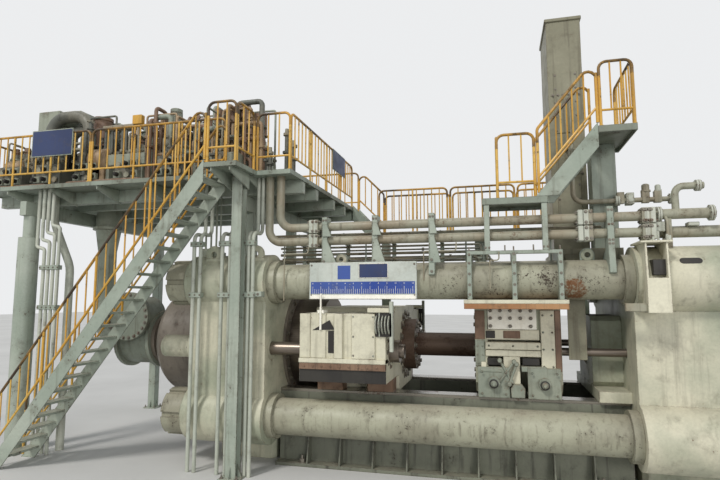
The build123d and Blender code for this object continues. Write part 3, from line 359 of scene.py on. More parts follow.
AXIS_Z = 2.17
TWIN_Y, TWIN_UPPER, TWIN_LOWER = -1.82, 4.395, 4.135
BRACKET_X = (-1.99, -1.06, -0.06, 2.78)
SIDE_CYLINDERS_Y = (-1.64, 1.64)
CONTAINER_CYLINDERS_Y = (-1.01, 1.01)
RISER_X = (-4.475, -4.34, -3.89, -3.73, -3.36, -3.27)
SMALL_Z = 4.76
SMALL_BACK = -1.25
STAIR_FOOT = (1.72, SMALL_Z)
STAIR_HEAD = (2.66, 5.87)
DECK_Z = 5.45
ARM_REACH = 2.05
HOUSING_REACH = 1.15
UPPER_LINE_Y, LOWER_LINE_Y = -1.15, -1.76  # lines by the front platen
VALVE_ROW_Y = -1.57
VALVE_BLOCKS_X = (-9.3, -8.3, -7.3, -6.3, -5.3, -4.4)
FLAKED_ON_ROD = (((1.7, -1.9, 3.35), 0.45), ((1.0, -1.9, 3.3), 0.25), ((2.5, -1.9, 3.3), 0.3),
                 ((0.3, -1.9, 3.2), 0.35))
FLAKED_ON_PIPE = (((1.2, -1.8, 4.32), 0.4), ((1.6, -1.8, 4.07), 0.45), ((0.2, -1.8, 4.32), 0.3),
                  ((-1.5, -1.8, 4.1), 0.3))
RUSTED_ON_ROD = (((2.2, -1.9, 3.19), 0.34), ((2.22, -1.9, 3.14), 0.22))


# Materials


RUST_BROWN = (0.42, 0.27, 0.14)
DUST = (0.72, 0.69, 0.62)
FLAKE_PULL, RUST_PULL = 0.07, 0.45  # how strongly a named place gathers chips or rust
PAINT_RELIEF, STEEL_RELIEF = 0.0022, 0.0012


def linear(colour):
    """A colour as it looks on a screen, turned into the light that the shaders use."""
    colour = np.asarray(colour[:3], float)
    light = np.where(colour <= 0.04045, colour / 12.92, ((colour + 0.055) / 1.055) ** 2.4)
    return (*light, 1.0)


class Graph:
    """The nodes of a material or a world, linked as they are made."""

    def __init__(self, owner):
        owner.use_nodes = True
        self.owner = owner
        self.tree = owner.node_tree
        self.tree.nodes.clear()

    def add(self, kind, inputs=None, **settings):
        """A node with its settings, and its inputs linked or set."""
        node = self.tree.nodes.new(kind)
        for key, value in settings.items():
            setattr(node, key, value)
        for key, value in (inputs or {}).items():
            if isinstance(value, bpy.types.NodeSocket):
                self.tree.links.new(value, node.inputs[key])
            else:
                node.inputs[key].default_value = value
        return node

    def math(self, operation, first, second=0.0):
        """One sum of two values."""
        return self.add("ShaderNodeMath", {0: first, 1: second}, operation=operation).outputs["Value"]

    def finish(self, kind, surface):
        """The output node, with what it shows."""
        self.add(kind, {"Surface": surface.outputs[0]})
        return self.owner


class Surface(Graph):
    """A material's nodes, with their places on the press."""

    def __init__(self, name):
        super().__init__(bpy.data.materials.new(name))
        self.place = self.add("ShaderNodeTexCoord").outputs["Object"]

    def shaded(self, colour, shade):
        """The colour made darker or lighter by a grey shade."""
        grey = self.add("ShaderNodeCombineColor", {0: shade, 1: shade, 2: shade}).outputs[0]
        return self.mix(1.0, colour, grey, "MULTIPLY")

    def noise(self, scale, detail, stretch=(1, 1, 1), rough=0.6):
        """Cloudy noise from 0 to 1, with the places stretched first."""
        place = self.place
        if stretch != (1, 1, 1):
            place = self.add("ShaderNodeMapping", {"Vector": place, "Scale": stretch}).outputs["Vector"]
        inputs = {"Vector": place, "Scale": scale, "Detail": detail, "Roughness": rough}
        return self.add("ShaderNodeTexNoise", inputs).outputs["Fac"]

    def span(self, value, low, high, bottom=0.0, top=1.0):
        """The value's stretch from low to high, run out smoothly from bottom to top."""
        inputs = {"Value": value, "From Min": low, "From Max": high, "To Min": bottom, "To Max": top}
        return self.add("ShaderNodeMapRange", inputs, interpolation_type="SMOOTHSTEP").outputs["Result"]

    def near(self, centre, radius):
        """One at a place on the press, falling to nought at the radius."""
        node = self.add("ShaderNodeVectorMath", {0: self.place, 1: centre}, operation="DISTANCE")
        return self.span(node.outputs["Value"], radius, radius * 0.45)

    def mix(self, share, first, second, blend="MIX"):
        """Two colours mixed by a share."""
        colour_inputs = {0: share, 6: first, 7: second}
        return self.add("ShaderNodeMix", colour_inputs, data_type="RGBA", blend_type=blend).outputs[2]

    def surface(self, colour, rough, height, depth, metallic=0.0, rounded=None, **sockets):
        """The shader, with its bump, and its output."""
        bump = self.add("ShaderNodeBump", {"Height": height, "Distance": depth, "Strength": 1.0})
        if rounded is not None:
            self.tree.links.new(rounded, bump.inputs["Normal"])
        inputs = {"Base Color": colour, "Roughness": rough, "Normal": bump.outputs["Normal"],
                  "Metallic": metallic, **sockets}
        return self.finish("ShaderNodeOutputMaterial", self.add("ShaderNodeBsdfPrincipled", inputs))


def coat(name, paint, faded, under, grime, chipped=0.3, streaked=0.4, dusted=0.35, rough=0.5, fine=1.0,
         edges=0.02, flaked=(), rusted=(), treaded=0.0):
    """Old paint on steel: broad fading, blotches and runs of grime, chips down to the undercoat that gather
    in clusters and along edges, and pale dust on what faces up. Flaked and rusted are places with their
    radius, and treaded is the pitch of raised diamonds on what faces up."""
    g = Surface(name)
    geometry = g.add("ShaderNodeNewGeometry")
    broad = g.span(g.noise(0.5 * fine, 4), 0.38, 0.64)
    blotch = g.noise(2.6 * fine, 7, rough=0.68)
    specks = g.noise(21 * fine, 9, rough=0.72)
    runs = g.noise(1.0, 6, stretch=(9 * fine, 9 * fine, 0.55 * fine))
    colour = g.mix(broad, linear(paint), linear(faded))
    colour = g.mix(g.span(blotch, 0.5, 0.72, 0, 0.55 * streaked + 0.15), colour, linear(grime))
    colour = g.mix(g.span(runs, 0.52, 0.74, 0, streaked), colour, linear(grime))
    cluster = g.math("ADD", specks, g.math("MULTIPLY", blotch, 0.55))
    rounded = None
    if edges:
        rounded = g.add("ShaderNodeBevel", {"Radius": edges}, samples=4).outputs["Normal"]
        facing = g.add("ShaderNodeVectorMath", {0: rounded, 1: geometry.outputs["True Normal"]},
                       operation="DOT_PRODUCT").outputs["Value"]
        cluster = g.math("ADD", cluster, g.span(facing, 0.97, 0.82, 0, 0.2))
    bar = 1.02 - 0.24 * chipped
    for centre, radius in flaked:
        cluster = g.math("ADD", cluster, g.math("MULTIPLY", g.near(centre, radius), FLAKE_PULL))
    chip = g.span(cluster, bar, bar + 0.035)
    colour = g.mix(chip, colour, linear(under))
    ragged = g.math("ADD", g.math("MULTIPLY", specks, 0.9), g.math("MULTIPLY", blotch, 0.5))
    for centre, radius in rusted:
        patch = g.math("ADD", g.math("MULTIPLY", g.near(centre, radius), RUST_PULL), ragged)
        colour = g.mix(g.span(patch, 1.0, 1.2), colour, linear(RUST_BROWN))
    up = g.add("ShaderNodeSeparateXYZ", {"Vector": geometry.outputs["Normal"]}).outputs["Z"]
    dust = g.math("MULTIPLY", g.span(up, 0.55, 0.95), g.span(blotch, 0.3, 0.62, 0.35 * dusted, dusted))
    colour = g.mix(dust, colour, linear(DUST))
    shade = g.span(specks, 0.2, 0.8, 0.9, 1.08)
    colour = g.shaded(colour, shade)
    worn = g.span(blotch, 0.3, 0.7, rough - 0.08, rough + 0.12)
    finish = g.math("ADD", worn, g.math("MULTIPLY", chip, 0.2))
    height = g.math("SUBTRACT", g.math("MULTIPLY", specks, 0.25), chip)
    if treaded:
        across = g.add("ShaderNodeMapping", {"Vector": g.place, "Rotation": (0, 0, np.pi / 4)})
        inputs = {"Vector": across.outputs["Vector"], "Scale": 0.32 / treaded}
        waves = [g.add("ShaderNodeTexWave", inputs, bands_direction=band) for band in ("X", "Y")]
        raised = g.span(g.math("MULTIPLY", *(wave.outputs["Fac"] for wave in waves)), 0.5, 0.75)
        height = g.math("ADD", height, g.math("MULTIPLY", raised, g.span(up, 0.8, 0.95, 0, 1.5)))
    return g.surface(colour, finish, height, PAINT_RELIEF, rounded=rounded)


def worn_steel(name, bare, rust, shine=0.35, marked=0.5, fine=1.0, metallic=0.75):
    """Bare steel: browned in clouds, scored along the axis, with rust gathering in patches."""
    g = Surface(name)
    cloud = g.noise(1.4 * fine, 7, rough=0.65)
    scores = g.noise(1.0, 5, stretch=(1.2, 60 * fine, 60 * fine))
    specks = g.noise(30 * fine, 8, rough=0.7)
    rusting = g.math("ADD", cloud, g.math("MULTIPLY", specks, 0.35))
    share = g.span(rusting, 0.86 - 0.3 * marked, 0.98 - 0.2 * marked)
    colour = g.mix(share, linear(bare), linear(rust))
    shade = g.span(scores, 0.25, 0.75, 0.82, 1.1)
    colour = g.shaded(colour, shade)
    finish = g.math("ADD", g.span(share, 0.0, 1.0, shine, shine + 0.3), g.math("MULTIPLY", scores, 0.08))
    height = g.math("ADD", g.math("MULTIPLY", specks, 0.5), g.math("MULTIPLY", scores, 0.3))
    return g.surface(colour, finish, height, STEEL_RELIEF, metallic=metallic)


# Sizes and colours that a user would change


def length(name, description, default):
    """A size in metres that a user may change."""
    return FloatProperty(name=name, description=description, default=default, unit="LENGTH")


def tint(name, description, default):
    """A colour that a user may change, as it looks on a screen."""
    return FloatVectorProperty(name=name, description=description, subtype="COLOR_GAMMA", default=default,
                               min=0, max=1)


class PressSizes(PropertyGroup):
    """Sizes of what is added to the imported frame."""

    post_radius: length("Rail post radius", "Radius of railing posts and top rails", 0.0245)
    baluster_radius: length("Baluster radius", "Radius of the upright bars in a railing", 0.0145)
    baluster_gap: length("Baluster spacing", "Distance between upright bars in a railing", 0.19)
    rail_height: length("Railing height", "Height of a railing above its floor", 1.1)
    low_rail: length("Low rail height", "Height of a railing's low rail above its floor", 0.26)
    flange_bolt: length("Flange bolt width", "Width across flats of the large flange bolts", 0.085)
    plate_bolt: length("Plate bolt width", "Width across flats of bolts on plates", 0.042)
    scale_marks: IntProperty(name="Scale marks", description="Number of marks along the scale", default=48)


class PressColours(PropertyGroup):
    """Colours of the finishes, as they look on a screen."""

    paint: tint("Machine paint", "Faded paint on the castings", (0.60, 0.62, 0.54))
    cream: tint("Bleached paint", "Machine paint where light has bleached it", (0.79, 0.775, 0.69))
    primer: tint("Undercoat", "Brown undercoat under the paint", (0.45, 0.36, 0.29))
    grime: tint("Grime", "Oil and dirt", (0.30, 0.27, 0.21))
    yellow: tint("Railing paint", "Ochre-yellow paint on the railings", (0.77, 0.58, 0.21))
    rust: tint("Rust", "Rust on bare steel", (0.36, 0.24, 0.16))
    structure: tint("Structure paint", "Grey-green paint on decks and stairs", (0.56, 0.60, 0.55))
    scale_blue: tint("Scale blue", "Blue of the scale and of bare plates", (0.13, 0.25, 0.56))


def finishes(colours):
    """Every material of the press by name."""
    paint, cream, primer, grime = colours.paint, colours.cream, colours.primer, colours.grime
    green = colours.structure
    return {
        "casting": coat("casting_paint", paint, cream, primer, grime, 0.25, 0.35),
        "cream": coat("bleached_paint", cream, (0.85, 0.835, 0.75), primer, grime, 0.2, 0.3),
        "rod": coat("rod_paint", (0.54, 0.53, 0.46), (0.64, 0.64, 0.56), (0.25, 0.21, 0.17), grime, 0.46,
                    0.55, fine=1.4, flaked=FLAKED_ON_ROD, rusted=RUSTED_ON_ROD),
        "pipe": coat("pipe_paint", (0.56, 0.52, 0.44), (0.60, 0.60, 0.53), primer, grime, 0.45, 0.5, fine=1.6,
                     edges=0, flaked=FLAKED_ON_PIPE),
        "bed": coat("bed_paint", (0.40, 0.41, 0.36), (0.47, 0.48, 0.42), (0.25, 0.2, 0.17), (0.14, 0.12, 0.1),
                    0.4, 0.7),
        "structure": coat("structure_paint", green, (0.64, 0.67, 0.62), (0.36, 0.33, 0.28), grime, 0.45,
                          0.45),
        "pale": coat("pale_paint", (0.68, 0.70, 0.65), (0.74, 0.75, 0.70), primer, grime, 0.3, 0.35,
                     fine=1.5),
        "brown": coat("brown_primer", (0.43, 0.33, 0.26), (0.52, 0.42, 0.34), (0.27, 0.2, 0.15),
                      (0.17, 0.13, 0.1), 0.4, 0.6, fine=2.0, edges=0),
        # Dark paint on coils and blocks; the same dark is painted shade on the sheets that stand in recesses
        # and slots, and a painted shadow on the crosshead.
        "dark": coat("dark_paint_and_painted_shade", (0.13, 0.12, 0.11), (0.19, 0.18, 0.16), (0.25, 0.2, 0.16),
                     (0.07, 0.06, 0.05), 0.3, 0.5, 0.2, fine=2.0, edges=0),
        "tan": coat("tan_cover", (0.55, 0.45, 0.34), (0.63, 0.54, 0.42), primer, grime, 0.3, 0.6, fine=2.0,
                    edges=0),
        "deck": coat("deck_paint", (0.45, 0.47, 0.42), green, (0.3, 0.26, 0.22), grime, 0.5, 0.5,
                     treaded=0.05),
        "yellow": coat("railing_paint", colours.yellow, (0.83, 0.67, 0.32), (0.27, 0.19, 0.11),
                       (0.36, 0.27, 0.14), 0.5, 0.45, rough=0.42, fine=1.2, edges=0),
        # The top rails are dark brown with broad yellow patches: the dark is painted shade over the yellow
        # railing paint, which shows where patches of sunlight would fall.
        "shaded_handrail": coat("handrail_painted_shade", (0.24, 0.19, 0.13), colours.yellow, (0.17, 0.13, 0.1),
                         (0.2, 0.16, 0.11), 0.6, 0.45, rough=0.4, fine=2.2, edges=0),
        "cylinder": coat("cylinder_primer", (0.40, 0.37, 0.33), (0.48, 0.45, 0.41), (0.30, 0.22, 0.17),
                         (0.2, 0.16, 0.13), 0.4, 0.5),
        "beige": coat("shear_paint", (0.49, 0.48, 0.40), (0.56, 0.55, 0.47), primer, grime, 0.3, 0.6),
        "tank": coat("tank_paint", (0.50, 0.53, 0.48), (0.57, 0.59, 0.53), primer, grime, 0.35, 0.6),
        "valve": coat("valve_paint", (0.35, 0.36, 0.33), (0.46, 0.45, 0.40), (0.3, 0.24, 0.2),
                      (0.13, 0.12, 0.1), 0.45, 0.6, fine=2.0, edges=0),
        "plate": coat("plate_paint", (0.95, 0.94, 0.89), (0.97, 0.96, 0.92), primer, (0.70, 0.66, 0.56), 0.1,
                      0.2, rough=0.45),
        "board": coat("board_paint", (0.68, 0.71, 0.68), (0.76, 0.78, 0.75), primer, (0.5, 0.47, 0.4), 0.2,
                      0.4, rough=0.4),
        "blue": coat("blue_paint", colours.scale_blue, (0.23, 0.33, 0.60), (0.62, 0.66, 0.72), grime, 0.42,
                     0.25, fine=2.0, edges=0),
        "navy": coat("navy_paint", (0.11, 0.17, 0.32), (0.15, 0.21, 0.37), (0.5, 0.53, 0.58), grime, 0.25,
                     0.3, fine=2.0, edges=0),
        "orange": coat("beam_paint", (0.58, 0.40, 0.25), (0.68, 0.52, 0.36), (0.36, 0.22, 0.13), grime, 0.45,
                       0.6, fine=1.6),
        "ram": worn_steel("ram_steel", (0.50, 0.46, 0.42), colours.rust, 0.28, 0.35),
        "stem": worn_steel("stem_steel", (0.37, 0.30, 0.25), (0.28, 0.2, 0.15), 0.45, 0.6, metallic=0.35),
        "bolt": worn_steel("bolt_steel", (0.50, 0.48, 0.44), colours.rust, 0.4, 0.5, fine=3.0, metallic=0.6),
        "rail_steel": worn_steel("rail_steel", (0.58, 0.56, 0.52), colours.rust, 0.22, 0.3),
    }


NODE_FINISH = {
    "casting": ("rear_platen", "front_platen", "platen_pedestals", "container_housing",
                "return_cylinders", "die_carrier", "die_bed"),
    "cream": ("crosshead", "platen_bracket"),
    "rod": ("tie_rods", "tie_rod_nuts"),
    "pipe": ("twin_pipes", "side_pipework"),
    "pale": ("riser_pipes",),
    "bed": ("base_frame", "bed_cross_members"),
    "structure": ("platform_joists", "platform_headers", "platform_columns", "landing_posts", "main_stair",
                  "side_stair", "link_stair", "pipe_brackets", "riser_clamps", "saddle_frame",
                  "lifting_eyes"),
    "deck": ("platform_deck", "landing_deck", "side_landings", "walkway"),
    "yellow": ("platform_railings", "main_stair_railings", "side_railings", "walkway_railings"),
    "cylinder": ("main_cylinder",),
    "beige": ("shear_housing", "shear_bridge", "guard_panel"),
    "tank": ("oil_tank", "pump_units", "prefill_valve", "accumulators", "suction_pipe", "container_shoes"),
    "valve": ("valve_blocks", "deck_pipes"),
    "plate": ("cover_plate", "pointer"),
    "board": ("scale_board",),
    "brown": ("crosshead_shoes",),
    "orange": ("saddle_beam",),
    "ram": ("main_ram", "side_rods", "container_rods", "shear_slide"),
    "stem": ("stem", "container_liner"),
    "rail_steel": ("guide_rails",),
}


def finish_nodes():
    """Give every CAD node its finish."""
    for finish, nodes in NODE_FINISH.items():
        for node in nodes:
            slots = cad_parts[node].data.materials
            slots.clear()
            slots.append(MATERIALS[finish])


# Railings

RAIL_BEND = 0.12
POST_SPACING = 1.15
RAIL_INSET = 0.03  # a railing's distance from the edge of its floor
PANEL_GAP = 0.05
STAIR_LIFT = 0.06  # height of a stair railing's foot above the line of the nosings


def railing(frame_shape, bar_shape, start, end, sizes, mid_posts=True):
    """A railing panel: a tube bent up, along and down again, a low rail, posts, and thin upright bars."""
    start, end = np.asarray(start, float), np.asarray(end, float)
    along = end - start
    going = np.hypot(along[0], along[1])
    top = Z * (sizes.rail_height - sizes.post_radius)
    low = Z * sizes.low_rail
    corner = min(RAIL_BEND, going / 4)
    shoulder = top - Z * corner * 2
    tube(frame_shape, route([start + shoulder, start + top, end + top, end + shoulder], corner, steps=5),
         sizes.post_radius)
    rods(bar_shape, [start, end], [start + shoulder, end + shoulder], sizes.post_radius, sides=10)
    rods(bar_shape, start + low, end + low, sizes.post_radius * 0.8)
    level_panel = abs(along[2]) < 0.01
    if level_panel:
        blocks(bar_shape, np.stack([start, end]) + Z * 0.006, (0.058, 0.058, 0.012), 0.002)
    post_count = max(1, int(round(going / POST_SPACING)))
    shares = np.arange(1, post_count)[:, None] / post_count
    if mid_posts and len(shares):
        feet = start + along * shares
        rods(bar_shape, feet, feet + top, sizes.post_radius * 0.9)
    count = max(2, int(round(going / sizes.baluster_gap)))
    shares = np.arange(1, count)[:, None] / count
    feet = start + along * shares
    rods(bar_shape, feet + low, feet + top, sizes.baluster_radius, sides=6)


def show_railings(sizes, frame_name, bar_name, replaces, panels):
    """Build panels, each given by its start, its end and whether it has posts between them, as two pieces."""
    frames, bars = Shape(), Shape()
    for start, end, *mid_posts in panels:
        railing(frames, bars, start, end, sizes, *mid_posts)
    # The top rails take the handrail finish, which has painted shade in patches over the railing yellow.
    show(frames, frame_name, "shaded_handrail", FRAME_BODY, replaces)
    show(bars, bar_name, "yellow", FRAME_BODY)


class PRESS_OT_railings(Operator):
    """Round railings in place of the plain panels"""

    bl_idname = "press.railings"
    bl_label = "Railings"

    def execute(self, context):
        inset, gap, lift = RAIL_INSET, PANEL_GAP, STAIR_LIFT
        (left, near, _), (right, far, z) = corners("platform_deck")
        (landing_left, landing_near, _), (landing_right, landing_far, _) = corners("landing_deck")
        left, near, right, far = left + inset, near + inset, right - inset, far - inset
        end, front = landing_right - inset, landing_near + inset
        middle = left + (landing_left - left) * 0.49
        centre = (left + right) / 2
        panels = [
            ((left, near, z), (middle - gap, near, z)),
            ((middle, near, z), (landing_left - gap, near, z)),
            ((landing_right, near, z), (right, near, z)),
            ((left, far, z), (centre - gap, far, z)),
            ((centre, far, z), (right, far, z)),
            ((left, near + gap, z), (left, far - gap, z)),
            ((right, near + gap, z), (right, corners("link_stair")[0][1], z)),
            ((landing_left + gap, front, z), (end, front, z)),
            ((end, front + gap, z), (end, landing_far - gap, z)),
        ]
        foot = corners("main_stair_railings")[0][0]
        for y in (landing_near + 0.026, landing_far - 0.02):
            panels.append(((foot, y, lift), (landing_left, y, z + lift)))
        show_railings(context.scene.press_sizes, "railing_frames", "railing_bars",
                      ("platform_railings", "main_stair_railings"), panels)
        return {"FINISHED"}


class PRESS_OT_access_railings(Operator):
    """Round railings on the small landings, their stair and the far walkway"""

    bl_idname = "press.access_railings"
    bl_label = "Access railings"

    def execute(self, context):
        sizes = context.scene.press_sizes
        inset, gap, lift = RAIL_INSET, PANEL_GAP, STAIR_LIFT
        low, high = corners("side_landings")
        (foot, foot_z), (head, head_z) = STAIR_FOOT, STAIR_HEAD
        left, right, near, back = low[0] + 0.26, high[0] - inset, low[1] + inset, SMALL_BACK - inset
        panels = [
            ((left, near, SMALL_Z), (foot - 0.06, near, SMALL_Z)),
            ((left, near + gap, SMALL_Z), (left, back, SMALL_Z)),
            ((foot, near, foot_z + lift), (head, near, head_z + lift), False),
            ((foot, back, foot_z + lift), (head, back, head_z + lift), False),
            ((head + gap, near, head_z), (right, near, head_z), False),
            ((right, near + gap, head_z), (right, high[1] - inset, head_z)),
        ]
        show_railings(sizes, "access_railing_frames", "access_railing_bars", ("side_railings",), panels)
        low, high = corners("walkway")
        link_low, link_high = corners("link_stair")
        joints = low[0] + (high[0] - low[0]) * np.array((0.0, 0.36, 0.68, 1.0))
        far, z = high[1] - inset, high[2]
        panels = [
            ((start + 0.06, y, z), (end - 0.02, y, z))
            for y in (low[1] + inset, far) for start, end in zip(joints[:-1], joints[1:])
        ]
        panels.append(((link_low[0], far, DECK_Z + lift), (link_high[0] - 0.03, far, z + lift), False))
        show_railings(sizes, "walkway_rails", "walkway_bars", ("walkway_railings",), panels)
        return {"FINISHED"}


# Fasteners


class PRESS_OT_frame_bolts(Operator):
    """Bolts, nuts and studs on the fixed frame"""

    bl_idname = "press.frame_bolts"
    bl_label = "Frame bolts"

    def execute(self, context):
        sizes = context.scene.press_sizes
        large, small = sizes.flange_bolt, sizes.plate_bolt
        fixed = Shape()
        valve_face = corners("prefill_valve")[0][1]
        bolt_circle(fixed, (-6.95, valve_face, 2.7), -Y, 0.475, 22, small * 1.2)
        for x in (-7.4, -6.59):
            bolt_circle(fixed, (x, 0, AXIS_Z), -X, 0.605, 26, small)
        bolt_circle(fixed, (-4.76, 0, AXIS_Z), -X, 1.19, 30, large)
        bolt_circle(fixed, (-3.04, 0, AXIS_Z), X, 1.05, 28, large * 0.8)
        for y in SIDE_CYLINDERS_Y:
            bolt_circle(fixed, (-4.72, y, AXIS_Z), -X, 0.25, 12, small)
        for y in CONTAINER_CYLINDERS_Y:
            bolt_circle(fixed, (5.12, y, AXIS_Z), X, 0.19, 10, small)
        for x in (-2.25, 2.39, 3.24, 3.27):
            for z in (TWIN_UPPER, TWIN_LOWER):
                bolts(fixed, places((x + 0.03, x + 0.10), TWIN_Y - 0.12, (z - 0.085, z + 0.085)), -Y, 0.034)
                bolts(fixed, places(x, (TWIN_Y - 0.085, TWIN_Y + 0.085), (z - 0.085, z + 0.085)), -X, 0.034)
        for x in BRACKET_X:
            bolts(fixed, places((x - 0.025, x + 0.025), TWIN_Y - 0.12, (3.96, 4.02, 4.27, 4.5)), -Y, 0.026)
        for x in BRACKET_X[:3]:
            bolts(fixed, places(x, -1.98, (3.55, 3.75)), -Y, 0.03)
        low, high = corners("saddle_frame")
        posts = (low[0] + 0.0375, (low[0] + high[0]) / 2, high[0] - 0.0375)
        bolts(fixed, places(posts, low[1], (3.16, 3.32, 3.5, 3.68, 3.82)), -Y, 0.028)
        for xs, tall in ((posts, 0.07), ((1.15, 1.6), 0.09)):
            feet = places(xs, low[1] + 0.03, high[2])
            rods(fixed, feet, feet + Z * tall, 0.012)
        low, high = corners("scale_board")
        board_corners = places((low[0] + 0.04, high[0] - 0.04), low[1], (low[2] + 0.07, high[2] - 0.05))
        bolts(fixed, board_corners, -Y, 0.022)
        for left, right in zip(RISER_X[::2], RISER_X[1::2]):
            middle = (left + right) / 2
            bolts(fixed, places((middle - 0.1, middle, middle + 0.1), -2.23, (3.157, 4.1)), -Y, 0.022)
        bolts(fixed, places(spaced(-8.19, -7.75, 5), -1.985, (2.91, 3.73)), -Y, 0.024)
        anchors = places((-2.6, 2.6), (-1.31, 1.31), 0.0)
        rods(fixed, anchors, anchors + Z * 0.19, 0.026)
        turned(fixed, anchors + Z * 0.06, Z, [(0, 0.075), (0.012, 0.075)], sides=16)
        turned(fixed, anchors + Z * 0.072, Z, [(0, 0.052), (0.05, 0.052), (0.056, 0.046)], sides=6)
        bolts(fixed, places((0.84, 0.9, 1.76, 1.82), -1.99, 3.93), -Y, 0.024)
        low, high = corners("platen_bracket")
        bolts(fixed, places((low[0] + 0.1, high[0] - 0.1), (-2.2, -1.75), high[2]), Z, 0.04)
        low, high = corners("shear_housing")
        bolts(fixed, places(spaced(low[0] + 0.08, high[0] - 0.08, 6), low[1] - 0.02, (5.42, 6.95)), -Y, 0.03)
        show(fixed, "frame_fasteners", "bolt", FRAME_BODY)
        return {"FINISHED"}


class PRESS_OT_moving_bolts(Operator):
    """Bolts on the crosshead and on the container"""

    bl_idname = "press.moving_bolts"
    bl_label = "Moving bolts"

    def execute(self, context):
        sizes = context.scene.press_sizes
        large, small = sizes.flange_bolt, sizes.plate_bolt
        low, high = corners("cover_plate")
        plate = Shape()
        width, height = high[0] - low[0], high[2] - low[2]
        columns = low[0] + width * np.array((0.055, 0.26, 0.465, 0.675, 0.885))
        for row, chosen in ((0.29, columns), (0.58, columns), (0.88, columns[::2])):
            at = places(chosen, low[1], high[2] - height * row)
            turned(plate, at, -Y, [(0, 0.034), (0.012, 0.034), (0.012, 0.026), (0.045, 0.026), (0.052, 0.02)],
                   sides=6)
        housing_face = corners("container_housing")[0][0]
        bolt_circle(plate, (housing_face, 0, AXIS_Z), -X, 0.6, 16, large)
        show(plate, "container_bolts", "bolt", CONTAINER_BODY)
        head = Shape()
        bolt_circle(head, (-0.6, 0, AXIS_Z), X, 0.41, 12, large)
        bolt_circle(head, (-0.85, 0, AXIS_Z), X, 0.62, 16, large * 1.1, phase=0.1)
        for y in SIDE_CYLINDERS_Y:
            bolt_circle(head, (-0.85, y, AXIS_Z), X, 0.27, 8, small * 1.2)
        show(head, "crosshead_bolts", "bolt", CROSSHEAD_BODY)
        return {"FINISHED"}


# Scale


class PRESS_OT_scale_face(Operator):
    """Blue band with marks and plain numbers, and plain blue plates on the scale and the railings"""

    bl_idname = "press.scale_face"
    bl_label = "Scale face"

    def execute(self, context):
        low, high = corners("scale_board")
        width, height, face = high[0] - low[0], high[2] - low[2], low[1]
        middle = (low[0] + high[0]) / 2
        blue, white = Shape(), Shape()
        band_top, band_bottom = high[2] - 0.53 * height, high[2] - 0.855 * height
        band_middle, band_height = (band_top + band_bottom) / 2, band_top - band_bottom
        blocks(blue, (middle, face - 0.002, band_middle), (width * 0.966, 0.006, band_height), 0.001)
        blocks(blue, (low[0] + width * 0.333, face - 0.002, high[2] - height * 0.28),
               (width * 0.12, 0.006, height * 0.37), 0.001)
        bare = Shape()
        plate_x, plate_width = low[0] + width * 0.608, width * 0.257
        blocks(bare, (plate_x, face - 0.004, high[2] - height * 0.245), (plate_width, 0.01, height * 0.36),
               0.002)
        show(bare, "scale_bare_plate", "navy", FRAME_BODY)
        marks = context.scene.press_sizes.scale_marks
        at = np.linspace(low[0] + width * 0.035, high[0] - width * 0.035, marks + 1)
        tall = np.where(np.arange(marks + 1) % 4 == 0, 0.62, 0.4) * band_height
        centres = np.stack([at, np.full(marks + 1, face - 0.0056), band_bottom + tall / 2], -1)
        blocks(white, centres, np.stack([np.full(marks + 1, 0.006), np.full(marks + 1, 0.002), tall], -1),
               0.0005)
        rim = plate_width + 0.016
        for side in (-1, 1):
            blocks(white, (plate_x + side * rim / 2, face - 0.004, high[2] - height * 0.245),
                   (0.012, 0.012, height * 0.36 + 0.028), 0.002)
            blocks(white, (plate_x, face - 0.004, high[2] - height * (0.245 + side * 0.192)),
                   (rim, 0.012, 0.012), 0.002)
        numbers(white, at[::4], face - 0.0066, band_top - 0.2 * band_height, 0.034)
        show(blue, "scale_band", "blue", FRAME_BODY)
        strip = (low[0] + width / 2, face - 0.0015, low[2] + height * 0.062)
        blocks(white, strip, (width * 0.985, 0.004, height * 0.115), 0.0008)
        show(white, "scale_marks", "plate", FRAME_BODY)
        plates, rims = Shape(), Shape()
        blocks(plates, [(-7.9, -2.165, 6.32), (-2.555, 0.86, 6.28)],
               [(0.99, 0.012, 0.53), (0.012, 0.95, 0.45)], 0.003)
        blocks(rims, [(-7.9, -2.16, 6.32), (-2.561, 0.86, 6.28)], [(1.03, 0.01, 0.57), (0.01, 0.99, 0.49)],
               0.003)
        show_all(
            FRAME_BODY,
            (plates, "blank_plates", "navy", "pale_plate"),
            (rims, "blank_plate_rims", "structure", "machine_green"),
        )
        return {"FINISHED"}


def numbers(shape, xs, y, z, size):
    """Plain numbers from nought upwards, made from text and stood on the face towards the operator."""
    for number, x in enumerate(xs):
        text = bpy.data.curves.new("number", "FONT")
        text.body = str(number)
        text.size = size
        text.align_x = "CENTER"
        text.resolution_u = 2
        holder = bpy.data.objects.new("number", text)
        mesh = bpy.data.meshes.new_from_object(holder)
        flat = np.empty(len(mesh.vertices) * 3)
        mesh.vertices.foreach_get("co", flat)
        flat = flat.reshape(-1, 3)
        placed = np.stack([flat[:, 0] + x, np.full(len(flat), y), flat[:, 1] + z], -1)
        shape.faces.extend([[index + shape.count for index in face.vertices] for face in mesh.polygons])
        shape.points.append(placed)
        shape.count += len(placed)
        bpy.data.objects.remove(holder)
        bpy.data.curves.remove(text)
        bpy.data.meshes.remove(mesh)


# Camera, light and stage

CAMERA_LENS, SENSOR_WIDTH = 26.5, 36.0
CAMERA_PLACE, CAMERA_TURN = (1.0, -11.0, 3.1), (96.25, 0.0, 14.4)
CAMERA_REACH = 400.0
FLOOR_REACH = 90.0
SKY_LIGHT, SKY_SEEN, SKY_STRENGTH = (0.92, 0.96, 1.0, 1.0), (0.84, 0.85, 0.86, 1.0), 0.5


